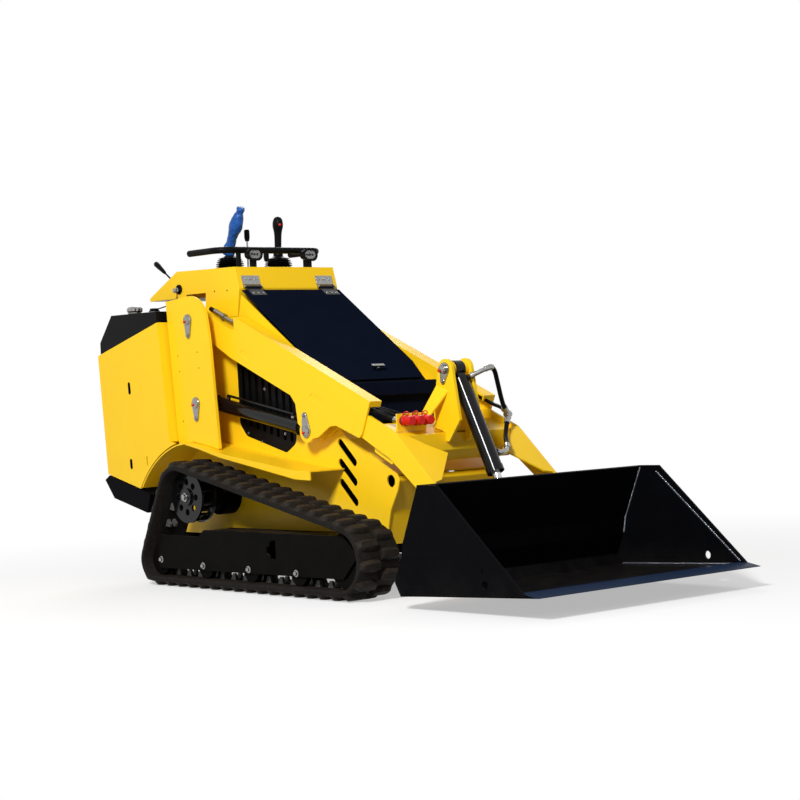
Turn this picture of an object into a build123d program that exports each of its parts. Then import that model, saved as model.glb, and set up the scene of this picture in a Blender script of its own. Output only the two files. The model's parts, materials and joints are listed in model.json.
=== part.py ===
"""Compact tracked skid steer loader with a bucket, in millimetres.

+X points to the bucket, +Y to the machine's left, +Z up, and the tracks stand on Z = 0.
Stations run forward from the rear face, so at(station, height) is a point of the side view.
"""
import os
from math import asin, atan2, cos, degrees, hypot, pi, radians, sin

from build123d import *

os.makedirs("parts", exist_ok=True)

RIGHT, LEFT = -1, 1
SIDES = {RIGHT: "right", LEFT: "left"}

# ---------------------------------------------------------------- clearances
seat_gap = 0.3          # between pieces of one body that rest on each other
pin_gap = 0.4           # between a pin and its bore
rim_gap = 2.0           # between a wheel's rim and the belt's flats

# ---------------------------------------------------------------- undercarriage
track_centre = 410.0    # from the middle plane to the middle of a track
track_width = 180.0
lug_height = 18.0
belt_thickness = 20.0
lug_pitch = 72.0
guide_height = 24.0     # drive lugs on the inside of the belt
guide_width = 40.0
idler_station, idler_radius = 488.0, 98.0        # rear idler, to the lug tips
sprocket_station, sprocket_radius = 662.0, 142.0
sprocket_height = 342.0
front_station, front_radius = 1636.0, 140.0      # front idler, to the lug tips
roller_stations = (789.0, 1077.0, 1363.0)
roller_height = 86.0
frame_outer = track_centre + 60.0     # outer face of the track frame
frame_inner = track_centre - 65.0
frame_wall = 8.0

# ---------------------------------------------------------------- chassis
chassis_half = 240.0    # outer face of the chassis side plates
plate = 8.0
floor_height = 165.0
tower_outer = 360.0     # outer face of the tower plates
tower_plate = 12.0
body_outer = 400.0      # outer face of the rear panels and fenders
sheet = 6.0
tank_floor = 700.0
console_half = 242.0
console_floor = 1026.0

# ---------------------------------------------------------------- pins, in side view
boom_pin = (600.0, 1020.0)
lift_pin = (632.0, 698.0)
lug_pin = (1243.0, 583.0)
tilt_pin = (1732.0, 786.0)
bucket_pin = (1934.0, 150.0)
rod_pin = (1985.0, 285.0)
hood_pin = (789.0, 1139.0)
console_rear = hood_pin[1] - 23        # underside of the console's rear, which overhangs the tank
tank_top = console_rear - 52

# ---------------------------------------------------------------- boom
arm_outer = 302.0
arm_inner = 247.0
arm_wall = 8.0
pin_radius = 20.0
tilt_pin_radius = 16.0
boss_radius = 38.0
lift_barrel_radius = 27.5
lift_rod_radius = 15.0
tilt_barrel_radius = 30.0
tilt_rod_radius = 14.5
eye_radius = 30.0
tilt_lug_inner = 40.0
tilt_lug_wall = 13.0

# ---------------------------------------------------------------- bucket
bucket_half = 532.0
bucket_wall = 8.0
lip_station = 2642.0

rear_x = -lip_station / 2


def at(station, height):
    return (rear_x + station, height)


def outline(points):
    return [at(station, height) for station, height in points]


def export(builder, label):
    builder.part.label = label
    export_step(builder.part, f"parts/{label}.step")


def web(points, side, inner, outer, mode=Mode.ADD, rounding=0):
    """A plate with this side view, from inner to outer on one side of the machine."""
    with BuildSketch(Plane.XZ.offset(-side * inner)) as view:
        with BuildLine():
            if rounding:
                FilletPolyline(*outline(points), radius=rounding, close=True)
            else:
                Polyline(*outline(points), close=True)
        make_face()
    extrude(view.sketch, amount=-side * (outer - inner), mode=mode)


def across(points, half, mode=Mode.ADD, rounding=0):
    """A prism with this side view, right across the machine."""
    with BuildSketch(Plane.XZ) as view:
        with BuildLine():
            if rounding:
                FilletPolyline(*outline(points), radius=rounding, close=True)
            else:
                Polyline(*outline(points), close=True)
        make_face()
    extrude(view.sketch, amount=half, both=True, mode=mode)


def disc(point, radius, side, inner, outer, mode=Mode.ADD):
    """A cylinder along Y, from inner to outer on one side of the machine."""
    with BuildSketch(Plane.XZ.offset(-side * inner)) as view:
        with Locations(at(*point)):
            Circle(radius)
    extrude(view.sketch, amount=-side * (outer - inner), mode=mode)


def strip(points, thickness, side, inner, outer, bend=20):
    """Sheet bent along this line of the side view; the line is its upper face."""
    with BuildSketch(Plane.XZ.offset(-side * inner)) as view:
        with BuildLine():
            FilletPolyline(*outline(points), radius=bend)
            offset(amount=thickness, side=Side.RIGHT)
        make_face()
    extrude(view.sketch, amount=-side * (outer - inner))


# ================================================================ tracks
tip_wheels = [
    (idler_station, idler_radius, idler_radius),
    (front_station, front_radius, front_radius),
    (sprocket_station, sprocket_height, sprocket_radius),
]
belt_wheels = [(rear_x + s, z, r - lug_height) for s, z, r in tip_wheels]


def loop_legs():
    """Arcs and straight runs of the belt's outer face, counterclockwise from the right."""
    headings = []
    for (x0, z0, r0), (x1, z1, r1) in zip(belt_wheels, belt_wheels[1:] + belt_wheels[:1]):
        span = hypot(x1 - x0, z1 - z0)
        headings.append((atan2(z1 - z0, x1 - x0) + asin((r0 - r1) / span), span, r0 - r1))
    legs = []
    for index, (x, z, r) in enumerate(belt_wheels):
        heading, span, step = headings[index]
        start = headings[index - 1][0] - pi / 2
        turn = (heading - pi / 2 - start) % (2 * pi)
        legs.append(("arc", x, z, r, start, turn, r * turn))
        run = (span**2 - step**2) ** 0.5
        legs.append(("run", x, z, r, heading, run, run))
    return legs


legs = loop_legs()
loop_length = sum(leg[-1] for leg in legs)
shoe_count = round(loop_length / lug_pitch)
shoe_pitch = loop_length / shoe_count


def on_loop(distance, out):
    """The point at this distance round the belt, moved outwards by out."""
    distance %= loop_length
    for kind, x, z, r, angle, size, length in legs:
        if distance <= length:
            break
        distance -= length
    if kind == "arc":
        turn = angle + size * distance / length
        return (x + (r + out) * cos(turn), z + (r + out) * sin(turn))
    normal = angle - pi / 2
    return (
        x + (r + out) * cos(normal) + distance * cos(angle),
        z + (r + out) * sin(normal) + distance * sin(angle),
    )


def toothed(base, tip, foot, top, phase):
    """Outline with one tooth a shoe: foot wide at base, top wide at tip."""
    points = []
    for index in range(shoe_count):
        middle = (index + phase) * shoe_pitch
        points.append(on_loop(middle - foot / 2, base))
        points.append(on_loop(middle - top / 2, tip))
        points.append(on_loop(middle + top / 2, tip))
        points.append(on_loop(middle + foot / 2, base))
    return points


def belt_ring(side, inner, outer, outside, inside):
    with BuildSketch(Plane.XZ.offset(-side * inner)) as ring:
        with BuildLine():
            Polyline(*outside, close=True)
        make_face()
        with BuildLine():
            Polyline(*inside, close=True)
        make_face(mode=Mode.SUBTRACT)
    extrude(ring.sketch, amount=-side * (outer - inner))


def plain(out):
    """Smooth outline of the belt with two points a shoe."""
    return [on_loop(step * shoe_pitch / 2, out) for step in range(2 * shoe_count)]


for side, name in SIDES.items():
    with BuildPart() as track:
        edge_in, edge_out = track_centre - track_width / 2, track_centre + track_width / 2
        for inner, outer, phase in ((edge_in, track_centre, 0.0), (track_centre, edge_out, 0.5)):
            belt_ring(side, inner, outer, toothed(0, lug_height, 42, 26, phase), plain(-belt_thickness))
        belt_ring(
            side, track_centre - guide_width / 2, track_centre + guide_width / 2,
            plain(-belt_thickness / 2),
            toothed(-belt_thickness - 1, -belt_thickness - guide_height, 30, 14, 0.25),
        )
    export(track, f"track_{name}")

# sprocket: two rings joined by bars that the drive lugs mesh with
bore_radius = sprocket_radius - lug_height - belt_thickness
ring_outer = bore_radius - 4
bar_radius = 6.0
bar_circle = ring_outer - 13
bar_count = round(2 * pi * (bore_radius + belt_thickness) / lug_pitch)
ring_gap = guide_width / 2 + 4
ring_wall = 10.0
hub_radius = 34.0
lightening_circle, lightening_radius = 58.0, 13.0
lug_turns = []
for index in range(shoe_count):
    x, z = on_loop((index + 0.25) * shoe_pitch, 0)
    if hypot(x - belt_wheels[2][0], z - belt_wheels[2][1]) < belt_wheels[2][2] + 1:
        lug_turns.append(degrees(atan2(z - belt_wheels[2][1], x - belt_wheels[2][0])) % 360)
bar_turn = sum(lug_turns) / len(lug_turns) + (180 / bar_count if len(lug_turns) % 2 else 0)
axle = (sprocket_station, sprocket_height)

near, far = track_centre - ring_gap - ring_wall, track_centre + ring_gap + ring_wall
with BuildPart() as sprockets:
    for side in SIDES:
        disc(axle, ring_outer, side, far - ring_wall, far)
        disc(axle, hub_radius, side, near, far + 8)
        disc(axle, ring_outer, side, near, near + ring_wall)
        disc(axle, bar_circle - 10, side, near, near + ring_wall, mode=Mode.SUBTRACT)
        disc(axle, hub_radius, side, near, far)
        with BuildSketch(Plane.XZ.offset(-side * near)) as bars:
            with Locations(at(*axle)):
                with PolarLocations(bar_circle, bar_count, start_angle=bar_turn):
                    RegularPolygon(bar_radius, 10)
        extrude(bars.sketch, amount=-side * (far - near))
        with BuildSketch(Plane.XZ.offset(-side * (far - ring_wall))) as holes:
            with Locations(at(*axle)):
                with PolarLocations(lightening_circle, 8):
                    Circle(lightening_radius)
        extrude(holes.sketch, amount=-side * ring_wall, mode=Mode.SUBTRACT)
export(sprockets, "sprockets")

motor_flange, motor_flange_width, motor_radius = 78.0, 60.0, 60.0
with BuildPart() as motors:
    for side in SIDES:
        disc(axle, motor_flange, side, chassis_half + seat_gap, chassis_half + motor_flange_width)
        disc(axle, motor_radius, side, chassis_half + motor_flange_width, near - seat_gap)
export(motors, "drive_motors")

# idlers and rollers: two rims on a hub, running each side of the drive lugs
wheel_table = [
    # station, height, rim radius
    (idler_station, idler_radius, idler_radius - lug_height - belt_thickness - rim_gap),
    (front_station, front_radius, front_radius - lug_height - belt_thickness - rim_gap),
] + [(s, roller_height, roller_height - lug_height - belt_thickness - seat_gap) for s in roller_stations]
rim_near, rim_far = guide_width / 2 + 6, 48.0
shaft_radius = 18.0
shaft_inset = frame_wall + seat_gap       # from the faces of the track frame

with BuildPart() as rollers:
    for side in SIDES:
        for station, height, rim in wheel_table:
            centre = (station, height)
            disc(centre, shaft_radius, side, frame_inner + shaft_inset, frame_outer - shaft_inset)
            for inner in (track_centre - rim_far, track_centre + rim_near):
                disc(centre, rim, side, inner, inner + rim_far - rim_near)
export(rollers, "rollers")

# track frame: an outer and an inner plate under a top plate, on two arms from the chassis
frame_outline = [
    (496, 67), (1628, 76), (1706, 152), (1636, 226), (798, 222), (762, 196), (494, 196),
]
arm_stations = (900.0, 1400.0)
frame_arm = [(-40, 175), (40, 175), (40, 209), (-40, 209)]      # about each arm station
frame_top = [(802, 212), (1560, 216), (1560, 224), (802, 220)]
tension_port = [                         # opening to the track's grease fitting
    (1226, 198), (1210, 190), (1208, 178), (1190, 170), (1190, 150), (1208, 142), (1214, 130), (1240, 128),
    (1246, 136), (1246, 198),
]
for side, name in SIDES.items():
    with BuildPart() as frame:
        web(frame_outline, side, frame_outer - frame_wall, frame_outer)
        web(frame_outline, side, frame_inner, frame_inner + frame_wall)
        web(tension_port, side, frame_outer - frame_wall, frame_outer, mode=Mode.SUBTRACT)
        web(frame_top, side, frame_inner, frame_outer)
        for station in arm_stations:
            web([(station + s, z) for s, z in frame_arm], side, chassis_half + seat_gap, frame_inner)
    export(frame, f"track_frame_{name}")

# ================================================================ chassis
side_outline = [
    (56, 440), (340, 366), (345, floor_height), (1590, floor_height), (1624, 298), (1667, 368),
    (1679, 405), (1662, 430), (1562, 477), (1492, 501), (1399, 554), (1350, 600), (1340, 732),
    (788, hood_pin[1] - 33), (769, console_floor - seat_gap), (486, console_floor - seat_gap),
    (486, tank_floor - seat_gap), (34, tank_floor - seat_gap),
]
window = [(740, 880), (745, 610), (785, 565), (1035, 500), (1095, 535), (1115, 670), (1100, 760), (930, 880)]
tie_hole = (1632.0, 401.0)
tie_hole_radius = 22.0
cooling_slots = [(1394, 501), (1393, 430), (1394, 357)]     # middles, rising to the rear

for side, name in SIDES.items():
    with BuildPart() as side_plate:
        web(side_outline, side, chassis_half - plate, chassis_half)
        web(window, side, chassis_half - plate, chassis_half, mode=Mode.SUBTRACT, rounding=30)
        disc(tie_hole, tie_hole_radius, side, chassis_half - plate, chassis_half, mode=Mode.SUBTRACT)
        with BuildSketch(Plane.XZ.offset(-side * (chassis_half - plate))) as slots:
            with Locations(*outline(cooling_slots)):
                SlotOverall(132, 30, rotation=-43)
        extrude(slots.sketch, amount=-side * plate, mode=Mode.SUBTRACT)
    export(side_plate, f"side_plate_{name}")

# grilles: a sheet in each window with upright slots
with BuildPart() as grilles:
    for side in SIDES:
        with BuildSketch(Plane.XZ.offset(-side * (chassis_half - plate))) as bars:
            with BuildLine():
                FilletPolyline(*outline(window), radius=30, close=True)
            make_face()
            offset(amount=-seat_gap)
            for column in range(8):
                station = 775 + 42 * column
                low = max(600 - 0.26 * (station - 785) + 10, 540)
                high = min(850, 850 - 0.72 * (station - 950))
                with Locations(at(station, (low + high) / 2)):
                    SlotOverall(high - low, 18, rotation=90, mode=Mode.SUBTRACT)
        extrude(bars.sketch, amount=-side * (plate - 2))
export(grilles, "grilles")

floor_top = floor_height + plate
with BuildPart() as floor:
    across([(350, floor_height), (1586, floor_height), (1586, floor_top), (350, floor_top)],
           chassis_half - plate - seat_gap)
export(floor, "belly_plate")

with BuildPart() as apron:
    strip([(1350, 596), (1399, 550), (1660, 426)],
          sheet, LEFT, -(chassis_half - plate - seat_gap), chassis_half - plate - seat_gap, bend=8)
export(apron, "front_apron")

with BuildPart() as nose:
    strip([(1656, 419), (1672, 403), (1618, 296), (1590, floor_top + seat_gap)],
          sheet, LEFT, -(chassis_half - plate - seat_gap), chassis_half - plate - seat_gap, bend=8)
export(nose, "nose_plate")

with BuildPart() as cover:
    strip([(1324, 752), (1366, 752), (1366, 700), (1342, 690), (1342, 606)],
          4, LEFT, -(chassis_half - plate - seat_gap), chassis_half - plate - seat_gap, bend=6)
export(cover, "front_cover")

with BuildPart() as engine:
    across([(520, floor_top + seat_gap), (1200, floor_top + seat_gap),
            (1200, 640), (860, 860), (520, 860)], 190)
export(engine, "engine_block")

with BuildPart() as tank:
    across([(29, tank_floor), (11, 900), (11, 957), (103, tank_top), (429, tank_top), (462, tank_floor)],
           body_outer - sheet - seat_gap)
export(tank, "tank")

cap_table = [
    # station, middle, neck radius, neck height, cap radius, cap height
    (166, -320, 27, 10, 33, 22),
    (308, -320, 22, 6, 18, 12),
]
with BuildPart() as caps:
    for station, middle, neck_radius, neck_height, cap_radius, cap_height in cap_table:
        with Locations((rear_x + station, middle, tank_top + seat_gap)):
            Cylinder(neck_radius, neck_height, align=(Align.CENTER, Align.CENTER, Align.MIN))
        with BuildSketch(Plane.XY.offset(tank_top + seat_gap + neck_height)) as top:
            with Locations((rear_x + station, middle)):
                RegularPolygon(cap_radius, 16)
        extrude(top.sketch, amount=cap_height)
export(caps, "tank_caps")

with BuildPart() as bumper:
    across([(14, 398), (78, 324), (316, 270), (340, 340), (340, 346), (48, 417)], body_outer)
export(bumper, "rear_bumper")

with BuildPart() as rear_cover:
    across([(40, 424), (46, 424), (6, 904), (0, 904)], body_outer - sheet - seat_gap)
export(rear_cover, "rear_cover")

# rear panels: a flat side with an arch over the track, stepping in to the tower
arch = [(275, 366), (400, 486), (540, 546)]
panel_corners = [(495, 552), (442, 1020), (0, 904), (40, 422)]
panel_fold = [(434, 1018), (442, 1020), (495, 552), (487, 552)]
panel_slots = [
    # station, height, length
    (224, 767, 48),
    (215, 464, 40),
    (331, 476, 38),
]
slot_width, slot_lean = 10.0, 5.0
for side, name in SIDES.items():
    with BuildPart() as panel:
        with BuildSketch(Plane.XZ.offset(-side * (body_outer - sheet))) as view:
            with BuildLine():
                Polyline(*outline([arch[2]] + panel_corners + [arch[0]]))
                ThreePointArc(*outline(arch))
            make_face()
            for station, height, length in panel_slots:
                with Locations(at(station, height)):
                    SlotOverall(length, slot_width, rotation=90 + slot_lean, mode=Mode.SUBTRACT)
        extrude(view.sketch, amount=-side * sheet)
        web(panel_fold, side, tower_outer - tower_plate, body_outer)
    export(panel, f"rear_panel_{name}")

# fenders: sheet over each track, with a lip along its outer edge that deepens to the front
fender_arch = [(285, 372), (403, 482), (540, 540)]
fender_top = [(600, 548), (688, 534), (817, 508), (1058, 474), (1288, 445), (1375, 445)]
lip_rear, lip_front = 8.0, 34.0


def lip_depth(station):
    """Depth of the fender's lip at this station."""
    (rear, _), (front, _) = fender_top[0], fender_top[-1]
    return lip_rear + (lip_front - lip_rear) * (station - rear) / (front - rear)


with BuildPart() as fenders:
    for side in SIDES:
        with BuildSketch(Plane.XZ.offset(-side * (chassis_half + seat_gap))) as view:
            with BuildLine():
                ThreePointArc(*outline(fender_arch))
                Polyline(*outline([fender_arch[2]] + fender_top))
                offset(amount=sheet - 1, side=Side.RIGHT)
            make_face()
        extrude(view.sketch, amount=-side * (body_outer - chassis_half - seat_gap))
        lip = fender_top + [(s, z - lip_depth(s)) for s, z in reversed(fender_top)]
        web(lip, side, body_outer - sheet, body_outer)
export(fenders, "fenders")

# towers: a plate with a round shoulder, and a web behind it to the chassis
tower_outline = [
    # station, height, corner radius
    (450, 1100, 4), (703, 1121, 112), (735, 935, 300), (758, 671, 300), (771, 519.5, 4), (688, 535.5, 60),
    (600, 550, 60), (501, 538, 4),
]
tower_web = [(450, 1100), (462, 1100), (512, 541), (501, 538)]
for side, name in SIDES.items():
    with BuildPart() as tower:
        with BuildSketch(Plane.XZ.offset(-side * (tower_outer - tower_plate))) as view:
            with BuildLine():
                FilletPolyline(*outline([row[:2] for row in tower_outline]),
                               radius=[row[2] for row in tower_outline], close=True)
            make_face()
        extrude(view.sketch, amount=-side * tower_plate)
        web(tower_web, side, chassis_half + seat_gap, tower_outer - tower_plate)
        for pin in (boom_pin, lift_pin):
            disc(pin, pin_radius + seat_gap, side, tower_outer - tower_plate, tower_outer, mode=Mode.SUBTRACT)
    export(tower, f"tower_{name}")

keeper_head, keeper_tail, keeper_length, keeper_thickness = 24.0, 12.0, 58.0, 6.0


def keeper(pin, side, outer, turn):
    """Drop-shaped plate that keeps a pin, its tail turned from straight down."""
    with BuildSketch(Plane.XZ.offset(-side * outer)) as drop:
        with Locations(at(*pin)):
            Circle(keeper_head)
            tail = (keeper_length * sin(radians(turn)), -keeper_length * cos(radians(turn)))
            with Locations(tail):
                Circle(keeper_tail)
        make_hull()
    extrude(drop.sketch, amount=-side * keeper_thickness)


with BuildPart() as pins:
    for side in SIDES:
        for pin in (boom_pin, lift_pin):
            disc(pin, pin_radius, side, console_half + seat_gap, tower_outer + keeper_thickness + 2)
            keeper(pin, side, tower_outer + seat_gap, 0)
export(pins, "tower_pins")

# ================================================================ console and controls
console_outline = [
    (163, console_rear), (163, console_rear + 13), (363, console_rear + 109),
    (hood_pin[0] - 32, console_rear + 101), (hood_pin[0] - 8, hood_pin[1] - 5), (762, console_floor),
    (490, console_floor), (490, console_rear),
]
tower_recess = [
    (420, console_rear - 10), (420, console_rear + 12), (558, console_rear + 12), (545, console_floor - 6),
    (480, console_floor - 6),
]
recess_depth = 60.0
with BuildPart() as console:
    across(console_outline, console_half)
    for side in SIDES:
        web(tower_recess, side, console_half - recess_depth, console_half, mode=Mode.SUBTRACT)
export(console, "console")


def console_top(station):
    """Height of the console's nearly level top at this station."""
    (rear, high), (front, low) = console_outline[2:4]
    return high - (high - low) * (station - rear) / (front - rear)


stick_station = 560.0
stick_middle = 120.0
boot_profile = [
    # radius, height above the console
    (0, 0), (56, 0), (56, 8), (47, 13), (57, 20), (45, 27), (54, 34), (42, 40), (20, 52), (0, 52),
]
boot_height = boot_profile[-1][1]
boot_floor = console_top(stick_station - boot_profile[1][0]) + seat_gap
with BuildPart() as boots:
    for offset_y in (-stick_middle, stick_middle):
        with BuildSketch(Plane.XZ.offset(-offset_y)) as half:
            with BuildLine():
                x, z = at(stick_station, boot_floor)
                Polyline(*[(x + radius, z + rise) for radius, rise in boot_profile], close=True)
            make_face()
        revolve(half.sketch, axis=Axis((x, offset_y, z), (0, 0, 1)), revolution_arc=360)
export(boots, "control_boots")

wrapped_grip = [(0, 20), (14, 22), (30, 16), (75, 17), (120, 22), (150, 21), (185, 12), (208, 10)]
bare_grip = [(0, 20), (12, 20), (22, 14), (105, 15), (122, 20), (147, 19), (161, 9)]
button_height, button_radius = 134.0, 6.0
stick_table = [
    # middle, forward lean in degrees, grip as heights and radii
    (-stick_middle, 24, wrapped_grip),
    (stick_middle, 3, bare_grip),
]
with BuildPart() as joysticks:
    for offset_y, lean, grip in stick_table:
        lean = radians(lean)
        lift = boot_height + seat_gap + grip[0][1] * sin(lean)
        base = Vector(rear_x + stick_station, offset_y, boot_floor + lift)
        axis = Vector(sin(lean), 0, cos(lean))
        with BuildSketch(Plane(origin=base, x_dir=(cos(lean), 0, -sin(lean)), z_dir=(0, -1, 0))) as half:
            with BuildLine():
                Polyline((0, 0), *[(radius, height) for height, radius in grip], (0, grip[-1][0]), close=True)
            make_face()
        revolve(half.sketch, axis=Axis(base, axis), revolution_arc=360)
        if grip is bare_grip:
            with Locations(Plane(origin=base + axis * button_height, z_dir=(1, 0, 0))):
                Cylinder(button_radius, 23, align=(Align.CENTER, Align.CENTER, Align.MIN))
export(joysticks, "joysticks")

lever_radius = 4.0
knob_radius, knob_length = 9.0, 30.0
switch_place, switch_radius, switch_depth = (378.0, 1153.0), 19.0, 6.0
with BuildPart() as levers:
    for station, offset_y, height in ((600, -10, 62), (600, 30, 40)):
        with Locations((rear_x + station, offset_y, console_top(station - lever_radius) + seat_gap)):
            Cylinder(lever_radius, height, align=(Align.CENTER, Align.CENTER, Align.MIN))
            with Locations((0, 0, height)):
                Cylinder(knob_radius, knob_length, align=(Align.CENTER, Align.CENTER, Align.MIN))
    # a longer one leans back from the console's sloping rear
    slope_rear, slope_front = (Vector(rear_x + s, 0, z) for s, z in console_outline[1:3])
    slope = (slope_front - slope_rear).normalized()
    normal = Vector(-slope.Z, 0, slope.X)
    reach = normal * cos(radians(30)) - slope * sin(radians(30))
    foot = slope_rear + (slope_front - slope_rear) * 0.7 + Vector(0, -200, 0)
    foot += normal * (lever_radius * sin(radians(30)) + seat_gap)
    with BuildSketch(Plane(origin=foot, z_dir=reach)) as bar:
        Circle(lever_radius)
    extrude(bar.sketch, amount=104)
    with BuildSketch(Plane(origin=foot + reach * 50, z_dir=reach)) as knob:
        Circle(knob_radius)
    extrude(knob.sketch, amount=56)
    disc(switch_place, switch_radius, RIGHT, console_half + seat_gap, console_half + seat_gap + switch_depth)
export(levers, "levers")

bar_rear, bar_front, bar_half = 470.0, 680.0, 250.0
bar_rise, bar_radius_y = 69.0, 13.0       # height over the console, and the tube's radius
post_middle, post_radius = 165.0, 10.0
post_floor = console_top(bar_front - post_radius) + seat_gap
bar_height = post_floor + bar_rise
with BuildPart() as handlebar:
    with BuildLine() as route:
        FilletPolyline(
            (rear_x + bar_rear, -bar_half, bar_height), (rear_x + bar_front, -bar_half, bar_height),
            (rear_x + bar_front, bar_half, bar_height), (rear_x + bar_rear, bar_half, bar_height), radius=60)
    with BuildSketch(Plane(origin=route.wire() @ 0, z_dir=route.wire() % 0)):
        Circle(bar_radius_y)
    sweep()
    for offset_y in (-post_middle, post_middle):
        with Locations((rear_x + bar_front, offset_y, post_floor)):
            Cylinder(post_radius, bar_rise - 4, align=(Align.CENTER, Align.CENTER, Align.MIN))
export(handlebar, "handlebar")

# lamps: an oval housing that narrows to the rear, with a recessed glass, on a flat bracket
lamp_station, lamp_middle, lamp_rise = 752.0, 136.0, 50.0
lamp_width, lamp_height, lamp_depth, lamp_rim = 74.0, 52.0, 34.0, 6.0
with BuildPart() as lamps:
    for offset_y in (-lamp_middle, lamp_middle):
        front = Plane(origin=(rear_x + lamp_station, offset_y, console_top(lamp_station) + lamp_rise),
                      x_dir=(0, 1, 0), z_dir=(1, 0, 0))
        with BuildSketch(front) as housing:
            SlotOverall(lamp_width, lamp_height)
        extrude(housing.sketch, amount=-lamp_depth, taper=14)
        with BuildSketch(front) as glass:
            SlotOverall(lamp_width - 2 * lamp_rim, lamp_height - 2 * lamp_rim)
        extrude(glass.sketch, amount=-lamp_rim, mode=Mode.SUBTRACT)
        bracket_station = lamp_station - lamp_depth / 2
        with Locations((rear_x + bracket_station, offset_y, console_top(bracket_station - 6) + seat_gap)):
            Box(12, 26, lamp_rise - lamp_height / 2 + 6, align=(Align.CENTER, Align.CENTER, Align.MIN))
export(lamps, "work_lamps")

# ================================================================ hood
hood_top, hood_low = (hood_pin[0] + 6, hood_pin[1] - 13), (1316.0, 763.0)
hood_half = 238.0
fall = atan2(hood_top[1] - hood_low[1], hood_low[0] - hood_top[0])
hood_length = hypot(hood_low[0] - hood_top[0], hood_top[1] - hood_low[1])
hood_plane = Plane(
    origin=(rear_x + hood_top[0], 0, hood_top[1]),
    x_dir=(cos(fall), 0, -sin(fall)), z_dir=(sin(fall), 0, cos(fall)))
with BuildPart() as hood:
    with BuildSketch(hood_plane):
        with BuildLine():
            Polyline((0, -hood_half), (hood_length - 110, -hood_half), (hood_length, 26 - hood_half),
                     (hood_length, hood_half - 26), (hood_length - 110, hood_half), (0, hood_half),
                     close=True)
        make_face()
    extrude(amount=-4)
    with BuildSketch(hood_plane.offset(-4)):
        for offset_y in (-214, 214):
            with Locations((hood_length / 2 + 20, offset_y)):
                Rectangle(hood_length - 140, 4)
    extrude(amount=-22)
export(hood, "hood")

hinge_middles = (-180.0, 180.0)
knuckle_length, knuckle_radius = 70.0, 5.0
hinge_pin_radius = 2.5
with BuildPart() as leaves:
    for offset_y in hinge_middles:
        with Locations(hood_plane.offset(seat_gap)):
            with Locations((16, offset_y, 0)):
                Box(54, knuckle_length, 3, align=(Align.CENTER, Align.CENTER, Align.MIN))
        with Locations((rear_x + hood_pin[0], offset_y, hood_pin[1])):
            Cylinder(knuckle_radius, knuckle_length, rotation=(90, 0, 0))
            Cylinder(hinge_pin_radius + pin_gap, knuckle_length, rotation=(90, 0, 0), mode=Mode.SUBTRACT)
export(leaves, "hood_hinges")

# a leaf on the console's front above each knuckle, with an ear at each end that holds the pin
leaf_height, leaf_thickness = 36.0, 3.0
ear_width, ear_gap = 6.0, 0.5
face_low, face_high = (Vector(rear_x + s, 0, z) for s, z in (console_outline[4], console_outline[3]))
face_rise = (face_high - face_low).normalized()
face_out = Vector(face_rise.Z, 0, -face_rise.X)
leaf_foot = face_low + face_rise * 13.5 + face_out * seat_gap
leaf_corners = [leaf_foot, leaf_foot + face_rise * leaf_height]
leaf_corners += [leaf_corners[1] + face_out * leaf_thickness, leaf_foot + face_out * leaf_thickness]
ear_corners = [face_low + face_out * seat_gap, leaf_foot + face_rise * 4]
ear_corners += [Vector(rear_x + hood_pin[0] + s, 0, hood_pin[1] + z) for s, z in ((0, 6), (6, 0), (0, -6))]
with BuildPart() as brackets:
    for middle in hinge_middles:
        half_width = knuckle_length / 2 + ear_gap
        with BuildSketch(Plane.XZ.offset(-middle)) as leaf:
            with BuildLine():
                Polyline(*[(corner.X, corner.Z) for corner in leaf_corners], close=True)
            make_face()
        extrude(leaf.sketch, amount=half_width + ear_width, both=True)
        for end in (-1, 1):
            with BuildSketch(Plane.XZ.offset(-middle - end * (half_width + ear_width / 2))) as ear:
                with BuildLine():
                    Polyline(*[(corner.X, corner.Z) for corner in ear_corners], close=True)
                make_face()
            extrude(ear.sketch, amount=ear_width / 2, both=True)
        with Locations((rear_x + hood_pin[0], middle, hood_pin[1])):
            Cylinder(hinge_pin_radius, 2 * half_width + ear_width, rotation=(90, 0, 0))
export(brackets, "hinge_brackets")

with BuildPart() as latch:
    with Locations(hood_plane.offset(0.3)):
        with Locations((hood_length - 60, 20, 0)):
            Cylinder(9, 14, align=(Align.CENTER, Align.CENTER, Align.MIN))
            with Locations((0, 0, 14)):
                Box(12, 60, 8, align=(Align.CENTER, Align.CENTER, Align.MIN))
export(latch, "hood_latch")

# ================================================================ boom
arm_web = [
    (590, 1068), (795, 974), (817, 974), (817, 1022), (1610, 684), (1558, 569), (1542, 556), (1414, 601),
    (1379, 599), (1308, 560), (1275, 555), (1192, 610), (1181, 684), (1153, 716), (787, 867), (672, 928),
    (572, 978),
]
lug_radius = 42.0
boss_end = boom_pin[0] + boss_radius + 12
lug_rear, lug_front = 1148.0, 1432.0      # the arm is a box between these stations, open below
arm_front = 1640.0


def arm_top(station):
    """Height of the arm's sloping top at this station."""
    (s0, z0), (s1, z1) = arm_web[3:5]
    return z0 + (z1 - z0) * (station - s0) / (s1 - s0)


def hollow(side, inner, outer, rear, front, opening=()):
    """Hollows the arm out between two stations, all but its walls; an opening has no walls."""
    with BuildSketch(Plane.XZ.offset(-side * inner)) as view:
        with BuildLine():
            Polyline(*outline(arm_web), close=True)
        make_face()
        offset(amount=-arm_wall, kind=Kind.INTERSECTION)
        if opening:
            with BuildLine():
                Polyline(*outline(opening), close=True)
            make_face()
        with BuildLine():
            Polyline(at(rear, 400), at(rear, 1200), at(front, 1200), at(front, 400), close=True)
        make_face(mode=Mode.INTERSECT)
    extrude(view.sketch, amount=-side * (outer - inner), mode=Mode.SUBTRACT)


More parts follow.
